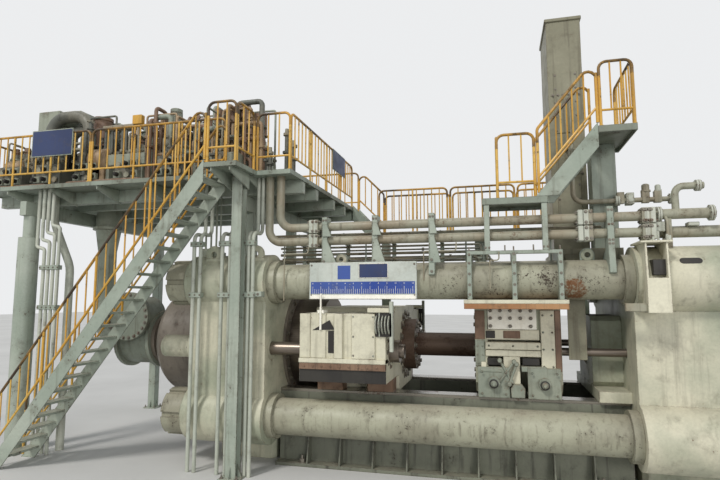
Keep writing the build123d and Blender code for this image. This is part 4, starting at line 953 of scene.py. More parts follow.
class PRESS_OT_stage(Operator):
    """Plain pale floor, soft light and the camera"""

    bl_idname = "press.stage"
    bl_label = "Stage"

    def execute(self, context):
        scene = context.scene
        scene.view_settings.view_transform = "Standard"
        camera = bpy.data.objects.new("camera", bpy.data.cameras.new("camera"))
        camera.data.lens = CAMERA_LENS
        camera.data.sensor_width = SENSOR_WIDTH
        camera.data.clip_end = CAMERA_REACH
        camera.location = CAMERA_PLACE
        camera.rotation_euler = np.radians(CAMERA_TURN)
        scene.collection.objects.link(camera)
        scene.camera = camera

        for name, energy, spread, hue, turn in (
            ("high_lamp", 1.75, 12, (1.0, 0.97, 0.92), (46, 6, -30)),
            ("low_lamp", 0.85, 20, (1.0, 0.98, 0.95), (80, 0, 34)),
        ):
            light = bpy.data.lights.new(name, "SUN")
            light.energy = energy
            light.angle = np.radians(spread)
            light.color = hue
            lamp = bpy.data.objects.new(name, light)
            lamp.rotation_euler = np.radians(turn)
            scene.collection.objects.link(lamp)

        scene.world = bpy.data.worlds.new("world")
        sky = Graph(scene.world)
        rays = sky.add("ShaderNodeLightPath").outputs
        seen = sky.math("MAXIMUM", rays["Is Camera Ray"], rays["Is Glossy Ray"])
        seen = sky.math("MAXIMUM", seen, rays["Is Transmission Ray"])
        light = sky.add("ShaderNodeBackground", {"Color": SKY_LIGHT, "Strength": SKY_STRENGTH})
        pale = sky.add("ShaderNodeBackground", {"Color": SKY_SEEN})
        mixed = sky.add("ShaderNodeMixShader", {"Fac": seen, 1: light.outputs[0], 2: pale.outputs[0]})
        sky.finish("ShaderNodeOutputWorld", mixed)

        mesh = bpy.data.meshes.new("floor")
        corners_at = [(x * FLOOR_REACH, y * FLOOR_REACH, 0) for x, y in ((-1, -1), (1, -1), (1, 1), (-1, 1))]
        mesh.from_pydata(corners_at, [], [(0, 1, 2, 3)])
        floor = bpy.data.objects.new("floor", mesh)
        scene.collection.objects.link(floor)
        ground = Surface("floor_paint")
        cloud = ground.span(ground.noise(0.3, 5), 0.3, 0.7, 0.0, 1.0)
        colour = ground.mix(cloud, (0.60, 0.60, 0.59, 1), (0.66, 0.66, 0.65, 1))
        mesh.materials.append(ground.surface(colour, 0.95, cloud, 0.0, **{"Specular IOR Level": 0.05}))
        return {"FINISHED"}


class PRESS_OT_finishes(Operator):
    """Materials for every CAD node"""

    bl_idname = "press.finishes"
    bl_label = "Finishes"

    def execute(self, context):
        MATERIALS.update(finishes(context.scene.press_colours))
        finish_nodes()
        return {"FINISHED"}


# Crosshead and container


class PRESS_OT_crosshead_face(Operator):
    """Stepped panels, window, ledge and shelf on the near arm of the crosshead, with dark sheets of painted
    shade under the shelf, in the slot and in the window, and a painted shadow of the pointer's bracket
    """

    bl_idname = "press.crosshead_face"
    bl_label = "Crosshead face"

    def execute(self, context):
        pale, dark, brown, green = Shape(), Shape(), Shape(), Shape()
        for side in (-1, 1):
            face = side * ARM_REACH
            panels = (  # left, right, bottom, top, proud
                (-2.398, -2.2, 2.06, 2.83, 0.012), (-2.19, -1.91, 2.06, 2.845, 0.026),
                (-1.75, -1.6, 2.06, 2.83, 0.06), (-1.44, -1.03, 2.06, 2.828, 0.04),
                (-2.398, -0.85, 1.98, 2.06, 0.06), (-1.16, -0.78, 2.85, 2.93, 0.05),
            )
            for left, right, low, high, proud in panels:
                blocks(pale, ((left + right) / 2, face + side * (proud / 2 - 0.1), (low + high) / 2),
                       (right - left, proud + 0.2, high - low), 0.008)
            blocks(brown, (-1.62, face, 1.925), (1.54, 0.1, 0.11), 0.006)
            # A dark strip of painted shade under the shelf, and a dark sheet of painted shade in the slot.
            blocks(dark, [(-1.62, face, 1.762), (-1.81, face + side * 0.002, 2.34)],
                   [(1.548, 0.03, 0.214), (0.12, 0.02, 0.38)], 0.003)
            # A dark block of painted shade inside the window.
            blocks(dark, (-0.88, face - side * 0.05, 2.645), (0.28, 0.16, 0.4), 0.004)
            ribs = places(spaced(-1.0, -0.78, 5), face, 2.645)
            collar(green, ribs, X, -0.008, 0.008, 0.11, 0.16, 28)
            blocks(green, (-0.75, face - side * 0.02, 2.615), (0.06, 0.1, 0.85), 0.006)
            rods(green, (-0.95, face + side * 0.04, 2.45), (-0.95, face + side * 0.04, 2.85), 0.012)
            bolts(green, places((-1.41, -1.06), face + side * 0.04, (2.12, 2.44, 2.78)), Y * side, 0.022)
            bolts(brown, places(spaced(-2.3, -1.0, 9), face + side * 0.05, 1.925), Y * side, 0.03)
        # A dark triangle of painted shadow, cast by the pointer's bracket.
        wedge(dark, [(2.54, -2.155), (2.555, -1.751), (2.714, -1.845)], "y", -2.083, -2.045)
        low, high = corners("pointer")
        tail = Shape()
        blocks(tail, ((low[0] + high[0]) / 2, -2.085, 2.745), (0.035, 0.05, 0.4), 0.004)
        show_all(
            CROSSHEAD_BODY,
            (tail, "pointer_tail", "plate", "pale_plate"),
            (pale, "crosshead_panels", "cream", "machine_green"),
            (dark, "crosshead_painted_shade", "dark", "bare_steel"),
            (brown, "crosshead_shelf", "brown", "bare_steel"),
            (green, "crosshead_window", "pale", "machine_green"),
        )
        return {"FINISHED"}


class PRESS_OT_container_face(Operator):
    """Columns, beam, recesses, clamps and levers on the container, with dark sheets of painted shade in the
    recesses
    """

    bl_idname = "press.container_face"
    bl_label = "Container face"

    def execute(self, context):
        pale, green, brown, dark = Shape(), Shape(), Shape(), Shape()
        sunk = 0.3  # how far the plates reach into the housing
        for side in (-1, 1):
            face = side * HOUSING_REACH
            out = Y * side
            for shape, left, right, low, high, proud in (
                (pale, 1.72, 1.95, 1.84, 2.89, 0.03),
                (pale, 0.78, 1.71, 2.2, 2.33, 0.07),
                (pale, 0.78, 1.71, 2.08, 2.19, 0.05),
                (pale, 1.08, 1.36, 1.56, 2.09, 0.04),
                (pale, 0.70, 0.79, 1.87, 1.98, 0.09),
                (green, 0.6, 0.77, 1.9, 2.36, 0.02),
                (green, 0.68, 1.05, 1.81, 1.87, 0.12),
                (green, 1.38, 1.8, 1.83, 1.92, 0.1),
                (brown, 0.602, 0.775, 2.37, 2.88, 0.012),
                (pale, 0.785, 1.7, 2.365, 2.545, 0.004),
                (brown, 1.09, 1.38, 2.39, 2.525, 0.012),
                # A dark sheet of painted shade in a recess.
                (dark, 0.79, 0.95, 2.39, 2.525, 0.012),
                (brown, 1.955, 2.055, 1.84, 2.89, 0.012),
                # Two more dark sheets of painted shade in recesses.
                (dark, 0.8, 1.04, 1.92, 2.05, 0.004),
                (dark, 1.4, 1.69, 1.93, 2.06, 0.004),
            ):
                blocks(shape, point((left + right) / 2, face, (low + high) / 2) + out * (proud - sunk) / 2,
                       (right - left, proud + sunk, high - low), 0.008)
            knob = [(0, 0.05), (0.04, 0.05), (0.045, 0.035), (0.065, 0.03)]
            rim = [(-0.01, 0.058), (-0.01, 0.078), (0.008, 0.078), (0.012, 0.058), (-0.01, 0.058)]
            for x in (0.91, 1.75):
                turned(green, point(x, face, 1.63) + out * 0.215, out, knob, sides=24)
                turned(dark, point(x, face, 1.63) + out * 0.22, out, rim, sides=28, capped=False)
                bolts(green, places((x - 0.2, x + 0.2), face + side * 0.168, (1.45, 1.82)), out, 0.026)
            for x0, z0, x1, z1 in ((0.98, 1.62, 1.26, 2.0), (1.17, 1.62, 1.30, 1.96),
                                   (1.02, 2.02, 1.2, 1.66)):
                first = point(x0, face, z0) + out * 0.13
                last = point(x1, face, z1) + out * 0.09
                rods(green, first, last, 0.022, sides=10)
                turned(green, np.stack([first, last]) - out * 0.04, out,
                       [(0, 0.04), (0.08, 0.04), (0.09, 0.03)], sides=16)
            outline = [(1.4, 1.2), (1.4, 1.42), (1.55, 1.43), (1.62, 1.38), (1.62, 1.24), (1.55, 1.19)]
            wedge(green, outline, "y", *sorted((face + side * 0.05, face + side * 0.17)))
            bolts(green, places(spaced(0.84, 1.66, 3), face + side * 0.07, 2.265), out, 0.022)
            bolts(green, places((1.76, 1.91), face + side * 0.03, spaced(1.92, 2.8, 4)), out, 0.022)
            bolts(green, places((0.64, 0.73), face + side * 0.02, (1.95, 2.1, 2.25)), out, 0.022)
        show_all(
            CONTAINER_BODY,
            (pale, "container_panels", "cream", "machine_green"),
            (green, "container_clamps", "tank", "machine_green"),
            (brown, "container_column", "brown", "bare_steel"),
            (dark, "container_recess_shade_and_rims", "dark", "bare_steel"),
        )
        return {"FINISHED"}


# Pipework over the tie rods


class PRESS_OT_rod_pipework(Operator):
    """Bracket gussets, pipe clamps, the rack of thin pipes, lifting eyes and fittings over the tie rods"""

    bl_idname = "press.rod_pipework"
    bl_label = "Pipework over the rods"

    def execute(self, context):
        plates, clamps, thin, hangers, studs = Shape(), Shape(), Shape(), Shape(), Shape()
        for x, wide in zip(BRACKET_X, (0.2, 0.16, 0.12)):
            for low, high, foot in ((3.7, 4.15, wide), (4.2, 4.42, wide * 0.5)):
                wedge(plates, [(low, x - 0.03), (low, x + 0.04 + foot), (high, x + 0.05), (high, x - 0.03)],
                      "y", -1.965, -1.94)
        for x in (-2.21, 2.38, 3.355):
            for z in (TWIN_UPPER, TWIN_LOWER):
                blocks(clamps, [(x - 0.043, TWIN_Y, z), (x + 0.043, TWIN_Y, z)], (0.08, 0.246, 0.246), 0.008)
                for corner in (-0.085, 0.085):
                    feet = places(x - 0.12, (TWIN_Y - 0.085, TWIN_Y + 0.085), z + corner)
                    rods(studs, feet, feet + X * 0.24, 0.011, sides=6)
                    for along in (0.207, 0.012):
                        turned(studs, feet + X * along, X, [(0, 0.021), (0.022, 0.021)], sides=6)
        rack = ((-1.25, 3.79, 0.022), (-1.25, 3.86, 0.018), (-1.33, 3.93, 0.026), (-1.25, 4.0, 0.016),
                (-1.33, 4.06, 0.02), (-1.4, 3.82, 0.018))
        for number, (y, z, radius) in enumerate(rack):
            end = 0.95 - 0.05 * number
            pipe(thin, [(-3.08, y, z), (end, y, z), (end, y, z - 0.11 - 0.03 * number)], 0.05, radius, 8)
            if number % 2:
                flanged(thin, (end - 0.5 - 0.2 * number, y, z), X, radius * 2.0, 0.018, 4)
        rods(thin, [(-3.09, -1.6, 4.27), (-3.09, -1.68, 4.21), (-1.9, -1.5, 4.25)],
             [(2.7, -1.6, 4.27), (-0.3, -1.68, 4.21), (1.1, -1.5, 4.25)], 0.024)
        for x in (-2.6, -1.72, -0.83, 0.06, 0.8):
            blocks(hangers, [(x, -1.3, 3.9), (x, -1.3, 4.1)], [(0.07, 0.035, 0.42), (0.05, 0.3, 0.03)], 0.004)
            rods(hangers, [(x, -1.42, 4.1)], [(x, -1.62, 4.29)], 0.016)
            blocks(hangers, (x, -1.45, 3.72), (0.12, 0.26, 0.03), 0.004)
        for x in (-2.9, -1.3, 0.5, 1.9):
            rods(hangers, (x, -1.6, 3.7), (x, -1.6, 4.27), 0.014)
        small = [
            [(-2.75, -1.96, 3.05), (-2.75, -1.96, 3.9), (-2.3, -1.96, 3.9), (-2.3, -1.9, 4.05)],
            [(-0.2, -1.93, 3.4), (-0.2, -1.93, 3.9), (0.35, -1.93, 3.9), (0.35, -1.85, 4.06)],
            [(0.9, -2.0, 3.25), (0.9, -2.0, 3.72), (1.05, -2.0, 3.72), (1.05, -2.0, 3.86)],
        ]
        for line in small:
            pipe(thin, line, 0.04, 0.011, 6, 4)
        eyes, block = Shape(), Shape()
        for side in (-1, 1):
            for x in (-4.2, -3.35):
                collar(eyes, (x, side * 1.9, 3.917), Y, -0.03, 0.03, 0.06, 0.17)
                blocks(eyes, (x, side * 1.9, 3.8), (0.34, 0.08, 0.1), 0.006)
            ring = [(-0.01, 0.045), (-0.01, 0.1), (0.02, 0.1), (0.025, 0.094), (0.025, 0.045), (-0.01, 0.045)]
            for x in (-1.76, 2.46):
                turned(eyes, (x, side * 1.635, 3.806), Y * side, ring, sides=32, capped=False)
        blocks(plates, (-3.26, -2.115, 3.17), (0.34, 0.15, 0.1), 0.008)
        bolts(studs, places((-3.36, -3.16), -2.19, 3.17), -Y, 0.03)
        blocks(block, [(-4.64, -1.36, 3.95), (-4.36, -1.42, 3.94), (-4.64, -1.36, 4.04)],
               [(0.3, 0.26, 0.22), (0.16, 0.2, 0.14), (0.2, 0.2, 0.1)], 0.01)
        for number, x in enumerate((-4.72, -4.62, -4.52)):
            upright = (x, -1.36 + 0.03 * number, 4.0)
            union = [(0, 0.03), (0.06, 0.03), (0.06, 0.045), (0.09, 0.045), (0.09, 0.03)]
            turned(block, upright, Z, union, sides=16)
            rods(block, upright, (x, upright[1], 5.4), 0.02, sides=10)
        flanged(block, (-4.36, -1.42, 4.0), Z, 0.05, 0.03, 4)
        rods(block, (-4.36, -1.42, 4.0), (-4.36, -1.42, 5.4), 0.016, sides=8)
        show_all(
            FRAME_BODY,
            (eyes, "platen_eyes", "casting", "machine_green"),
            (block, "platen_valve", "tank", "tank_grey"),
            (plates, "bracket_gussets", "structure", "machine_green"),
            (clamps, "pipe_clamps", "pale", "machine_green"),
            (thin, "rack_pipes", "pipe", "tank_grey"),
            (hangers, "rack_posts", "structure", "machine_green"),
        )
        low, high = corners("saddle_beam")
        strip = Shape()
        edges = places((low[0] + high[0]) / 2, (low[1] + 0.02, high[1] - 0.02), high[2] - 0.03)
        blocks(strip, edges, (high[0] - low[0] + 0.006, 0.05, 0.066), 0.005)
        show_all(
            FRAME_BODY,
            (strip, "beam_edges", "cream", "rust_brown"),
            (studs, "clamp_studs", "bolt", "bare_steel"),
        )
        return {"FINISHED"}


def rounded_slot(shape, x, y, z, half, radius, reach, side):
    """A long round-ended dark mark of painted shade where a slot is, on a round boss: an outline (s, t)
    wrapped at an angle of 30 degrees + t / reach."""
    angle = np.linspace(-np.pi / 2, np.pi / 2, 9)
    right = np.stack([half - radius + radius * np.cos(angle), radius * np.sin(angle)], -1)
    outline = np.concatenate([right, -right])
    turn = np.radians(30) + outline[:, 1] / reach
    layers = []
    for depth in (reach - 0.02, reach):
        across, up = y + side * depth * np.cos(turn), z + depth * np.sin(turn)
        layers.append(np.stack([x + outline[:, 0], across, up], -1))
    if side > 0:
        layers.reverse()
    points = np.stack(layers)
    shape.add(points, grid_faces(1, 2, len(outline)), cap_faces(1, 2, len(outline)))


class PRESS_OT_right_pipework(Operator):
    """Flanges, small valves, elbow, and the slot by the front platen drawn as dark marks of painted shade"""

    bl_idname = "press.right_pipework"
    bl_label = "Right-hand pipework"

    def execute(self, context):
        pipes, metal, brown, slot = Shape(), Shape(), Shape(), Shape()
        y = UPPER_LINE_Y
        flanged(metal, [(3.06, y, 4.77), (3.9, y, 4.77)], X, 0.09, 0.035)
        blocks(metal, [(3.25, y, 4.79), (3.25, y - 0.08, 4.79)], [(0.12, 0.19, 0.2), (0.08, 0.05, 0.14)],
               0.008)
        for x, radius, tall, shape in ((3.51, 0.062, 0.22, brown), (3.7, 0.046, 0.2, metal)):
            valve = [(0, radius), (0.1, radius), (0.1, radius * 1.25), (0.13, radius * 1.25), (0.13, radius),
                     (tall, radius), (tall + 0.02, radius * 0.6)]
            turned(shape, (x, y, 4.8), Z, valve, sides=18)
        y = LOWER_LINE_Y
        vessel = point(3.4, y, 4.42)
        pipe(pipes, [(3.77, y, 4.46), (3.77, y, 4.86), (4.18, y, 4.86)], 0.13, 0.055, 14)
        flanged(metal, (4.1, y, 4.86), X, 0.09, 0.035)
        flanged(metal, [vessel + X * 0.12, vessel + X * 0.86], X, 0.125, 0.03, 8)
        blocks(metal, [(4.02, -1.66, 4.26), (3.52, -1.72, 4.22)], [(0.16, 0.16, 0.06), (0.14, 0.2, 0.16)],
               0.008)
        for x in (3.36, 3.6):
            pipe(pipes, [(x, y, 4.42), (x, -1.9, 4.3), (x, -1.9, 3.96)], 0.05, 0.022, 8, 4)
            blocks(metal, (x, -1.9, 4.02), (0.07, 0.07, 0.1), 0.006)
        rods(metal, [(3.3, -2.24, 3.96), (3.5, -2.2, 3.96), (3.42, -2.05, 3.96)],
             [(3.3, -2.24, 4.02), (3.5, -2.2, 4.06), (3.42, -2.05, 4.12)], 0.018)
        low, high = corners("platen_bracket")
        # A dark block and round-ended dark marks: painted shade where the slots are.
        blocks(slot, ((low[0] + high[0]) / 2 + 0.05, -1.98, 3.56), (0.2, 0.45, 0.24), 0.01)
        for sign in (-1, 1):
            rounded_slot(slot, 3.845, sign * 1.6, 3.4, 0.155, 0.052, 0.523, sign)
        blocks(pipes, (3.02, -2.2, 2.96), (0.3, 0.1, 0.12), 0.008)
        for x in (2.35, 2.43):
            rods(pipes, (x, -0.66, 5.4), (x, -0.66, 6.9), 0.014)
        show_all(
            FRAME_BODY,
            (pipes, "right_lines", "pipe", "tank_grey"),
            (metal, "right_flanges", "pale", "machine_green"),
            (brown, "right_valve", "pipe", "tank_grey"),
            (slot, "platen_slot_painted_shade", "dark", "bare_steel"),
        )
        return {"FINISHED"}


# Platform


class PRESS_OT_steelwork(Operator):
    """Foot plates with ribs and bolts under the columns, and worn nosings on the treads"""

    bl_idname = "press.steelwork"
    bl_label = "Steelwork"

    def execute(self, context):
        feet, studs, edges = Shape(), Shape(), Shape()
        for x, y, column, plate in (
            (-8.6, -1.9, 0.2, 0.3), (-8.6, 2.6, 0.1, 0.19), (-3.85, 2.6, 0.1, 0.19),
            (-3.52, -2.275, 0.1, 0.19), (-1.78, 2.6, 0.075, 0.16), (0.6, 2.6, 0.075, 0.16),
            (3.0, 2.6, 0.075, 0.16),
        ):
            blocks(feet, (x, y, 0.014), (2 * plate, 2 * plate, 0.028), 0.004)
            for side in (-1, 1):
                near, far = column * 0.9 * side, (plate - 0.015) * side
                wedge(feet, [(y + near, 0.02), (y + far, 0.02), (y + near, 0.24)], "x", x - 0.007, x + 0.007)
                wedge(feet, [(0.02, x + near), (0.02, x + far), (0.24, x + near)], "y", y - 0.007, y + 0.007)
            reach = plate - 0.05
            holes = places((x - reach, x + reach), (y - reach, y + reach), 0.028)
            bolts(studs, holes, Z, 0.046)
            rods(studs, holes, holes + Z * 0.062, 0.013)
        for foot, head, near, far, risers in (
            ((-8.112, 0.0), (-3.88, DECK_Z), -2.924, -2.166, 23),
            (STAIR_FOOT, STAIR_HEAD, -1.984, -1.266, 5),
            ((-1.92, 4.76), (-2.58, DECK_Z), 2.216, 2.884, 3),
        ):
            going, rise = (head[0] - foot[0]) / risers, (head[1] - foot[1]) / risers
            number = np.arange(1, risers)
            front = foot[0] + number * going - 0.046 * np.sign(going)
            centres = np.stack([front + 0.01 * np.sign(going), np.full(len(number), (near + far) / 2),
                                foot[1] + number * rise - 0.018], -1)
            blocks(edges, centres, (0.03, far - near, 0.044), 0.006)
        ring, plates = Shape(), Shape()
        exit_face = corners("front_platen")[1][0]
        section = [(-0.02, 0.46), (-0.02, 0.66), (0.025, 0.66), (0.03, 0.655), (0.03, 0.46), (-0.02, 0.46)]
        turned(ring, (exit_face, 0, AXIS_Z), X, section, sides=64, capped=False)
        bolt_circle(studs, (exit_face + 0.03, 0, AXIS_Z), X, 0.58, 20, 0.06)
        low, high = corners("shear_housing")
        middle = (low[0] + high[0]) / 2
        for z in (4.6, 6.2):
            rows = spaced(z + 0.06, z + 1.14, 5)
            blocks(plates, places(middle, (low[1], high[1]), z + 0.6), (0.42, 0.03, 1.2), 0.006)
            for side, axis in ((low[1] - 0.015, -Y), (high[1] + 0.015, Y)):
                bolts(studs, places((low[0] + 0.13, high[0] - 0.13), side, rows), axis, 0.028)
            blocks(plates, (high[0], 0.0, z + 0.6), (0.03, 0.8, 1.2), 0.006)
            bolts(studs, places(high[0] + 0.015, (-0.35, 0.35), rows), X, 0.028)
        blocks(plates, (middle, 0.0, high[2] - 0.04), (high[0] - low[0] + 0.05, 1.25, 0.07), 0.01)
        show_all(
            FRAME_BODY,
            (ring, "exit_ring", "casting", "machine_green"),
            (plates, "shear_covers", "beige", "shear_beige"),
            (feet, "column_feet", "structure", "machine_green"),
            (studs, "column_bolts", "bolt", "bare_steel"),
            (edges, "tread_nosings", "pale", "machine_green"),
        )
        return {"FINISHED"}


class PRESS_OT_tank_and_pumps(Operator):
    """Bands, covers, gauge, lugs and suction lines on the oil tank, and fins and flanges on the pumps"""

    bl_idname = "press.tank_and_pumps"
    bl_label = "Oil tank and pumps"

    def execute(self, context):
        shell, metal, motors, lines = Shape(), Shape(), Shape(), Shape()
        low, high = corners("oil_tank")
        corner, proud = 0.2, 0.03
        quarter = np.linspace(0, np.pi / 2, 7)
        outline = []
        for y, z, turn in ((high[1], high[2], 0), (low[1], high[2], 1), (low[1], low[2], 2),
                           (high[1], low[2], 3)):
            inward = (-1 if y == high[1] else 1, -1 if z == high[2] else 1)
            angle = quarter + turn * np.pi / 2
            outline.append(np.stack([y + inward[0] * corner + (corner + proud) * np.cos(angle),
                                     z + inward[1] * corner + (corner + proud) * np.sin(angle)], -1))
        outline = np.concatenate(outline)
        outline[:, 1] = np.maximum(outline[:, 1], low[2])
        for x in spaced(low[0] + 0.02, high[0] - 0.02, 7):
            wedge(shell, outline, "x", x - 0.012, x + 0.012)
        middle = (low[1] + high[1]) / 2
        cover = [(0, 0.3), (0.03, 0.3), (0.03, 0.29), (0.055, 0.29), (0.07, 0.24), (0.075, 0.1)]
        for place, axis in (
            (point(-8.35, middle, high[2]), Z),
            (point(-6.05, middle, high[2]), Z),
            (point(high[0], middle, 6.15), X),
        ):
            turned(shell, place, axis, cover, sides=32)
            bolt_circle(metal, place + axis * 0.055, axis, 0.265, 14, 0.024)
            if axis is Z:
                hoop(metal, place + Z * 0.075, Y, 0.07, 0.011)
        breather = [(0, 0.06), (0.1, 0.06), (0.1, 0.1), (0.2, 0.11), (0.25, 0.07)]
        turned(metal, (-7.2, middle + 0.3, high[2]), Z, breather, sides=20)
        hoop(metal, places((-9.2, -5.2), (low[1] + 0.25, high[1] - 0.25), high[2] + 0.03), X, 0.06, 0.014)
        gauge_x = -6.95
        rods(metal, (gauge_x, low[1] - 0.05, 5.75), (gauge_x, low[1] - 0.05, 6.65), 0.016)
        blocks(metal, places(gauge_x, low[1] - 0.03, (5.75, 6.2, 6.65)), (0.06, 0.1, 0.05), 0.006)
        y, z = -0.3, 5.89  # the pumps' axis
        pump = [(0, 0.21), (0.03, 0.21), (0.03, 0.175), (0.16, 0.175), (0.16, 0.2), (0.19, 0.2),
                (0.19, 0.165), (0.4, 0.16), (0.43, 0.1)]
        for x in (-9.2, -7.9, -6.6, -5.3):
            finned(motors, point(x - 0.44, y, z), X, 0.87, 0.285, 30)
            blocks(motors, (x - 0.05, y, 6.2), (0.3, 0.24, 0.12), 0.012)
            turned(motors, (x + 0.43, y, z), X, pump, sides=28)
            bolt_circle(metal, (x + 0.62, y, z), X, 0.18, 8, 0.028)
            end, near = x + 0.74, -0.98
            corners_of_line = [(end, y, 5.95), (end, y, 6.42), (end, near, 6.42), (end, near, DECK_Z)]
            pipe(lines, corners_of_line, 0.12, 0.04, 12)
            flanged(lines, (end, y, 6.2), Z, 0.085, 0.02)
        for x in (-8.45, -7.15):
            rods(lines, (x, low[1] + 0.02, 5.72), (x, -0.28, 5.72), 0.065, 14)
            flanged(lines, (x, 0.86, 5.72), Y, 0.12, 0.025, 8)
        show_all(
            FRAME_BODY,
            (shell, "tank_bands", "tank", "tank_grey"),
            (metal, "tank_fittings", "bolt", "bare_steel"),
            (motors, "pump_motors", "tank", "tank_grey"),
            (lines, "suction_lines", "valve", "tank_grey"),
        )
        return {"FINISHED"}


class PRESS_OT_valve_faces(Operator):
    """Small valves, coils, gauges and lines on the faces and tops of the valve blocks"""

    bl_idname = "press.valve_faces"
    bl_label = "Valve faces"

    def execute(self, context):
        draw = np.random.default_rng(5)
        bodies, coils, lines, caps = Shape(), Shape(), Shape(), Shape()
        low, high = corners("valve_blocks")
        top = DECK_Z + 0.52
        cap = [(-0.02, 0.075), (0.05, 0.075), (0.05, 0.1), (0.075, 0.1), (0.09, 0.06), (0.15, 0.06)]
        body = [(0, 0.13), (0.03, 0.13), (0.03, 0.105), (0.2, 0.105), (0.2, 0.125), (0.24, 0.125)]
        dial = [(0, 0.06), (0.035, 0.065), (0.045, 0.065), (0.045, 0.055)]
        for x in VALVE_BLOCKS_X:
            for dx in (-0.21, 0.0, 0.21):
                for level in (5.62, 5.84):
                    kind = draw.integers(4)
                    at = point(x + dx, low[1], level)
                    if kind == 3:
                        flanged(lines, at - Y * 0.03, -Y, 0.06, 0.016)
                        continue
                    blocks(bodies, at - Y * 0.035, (0.15, 0.09, 0.15), 0.008)
                    turned(coils, at - Y * 0.08 + X * (0.03 * (kind - 1)), -Y,
                           [(0, 0.045), (0.08, 0.045), (0.08, 0.03), (0.1, 0.03)], sides=14)
                bend = at[0] + draw.uniform(-0.05, 0.05)
                crown = top + draw.uniform(0.35, 0.8)
                near, far = low[1] + 0.08, low[1] + 0.5
                pipe(lines, [(bend, near, top), (bend, near, crown), (bend, far, crown), (bend, far, top)],
                     0.06, 0.02, 8, 4)
            pair = (x - 0.155, x + 0.155)
            turned(caps, places(pair, VALVE_ROW_Y, high[2]), Z, cap, sides=16)
            turned(bodies, places(pair, VALVE_ROW_Y, top), Z, body, sides=20)
            bolts(caps, places((x - 0.27, x + 0.27), (low[1] + 0.05, low[1] + 0.47), top), Z, 0.03)
        for x, level in ((-8.0, 6.5), (-6.75, 6.62), (-5.75, 6.45), (-4.8, 6.7)):
            rods(lines, (x, -1.7, top - 0.1), (x, -1.7, level), 0.014)
            turned(caps, (x, -1.68, level + 0.06), -Y, dial, sides=24)
        for y, first, step, last, before, after, bend, radius in (
            (-1.35, -9.45, -5.2, -4.2, 0.95, 0.6, 0.1, 0.045),
            (-1.28, -9.3, -6.1, -3.9, 1.12, 1.3, 0.08, 0.03),
        ):
            start, end = DECK_Z + before, DECK_Z + after
            stepped = [(first, y, start), (step, y, start), (step, y, end), (last, y, end)]
            pipe(lines, stepped, bend, radius, 12)
        show_all(
            FRAME_BODY,
            (bodies, "valve_bodies", "tank", "tank_grey"),
            (coils, "valve_coils", "dark", "tank_grey"),
            (lines, "valve_lines", "pipe", "tank_grey"),
            (caps, "valve_caps", "brown", "tank_grey"),
        )
        return {"FINISHED"}


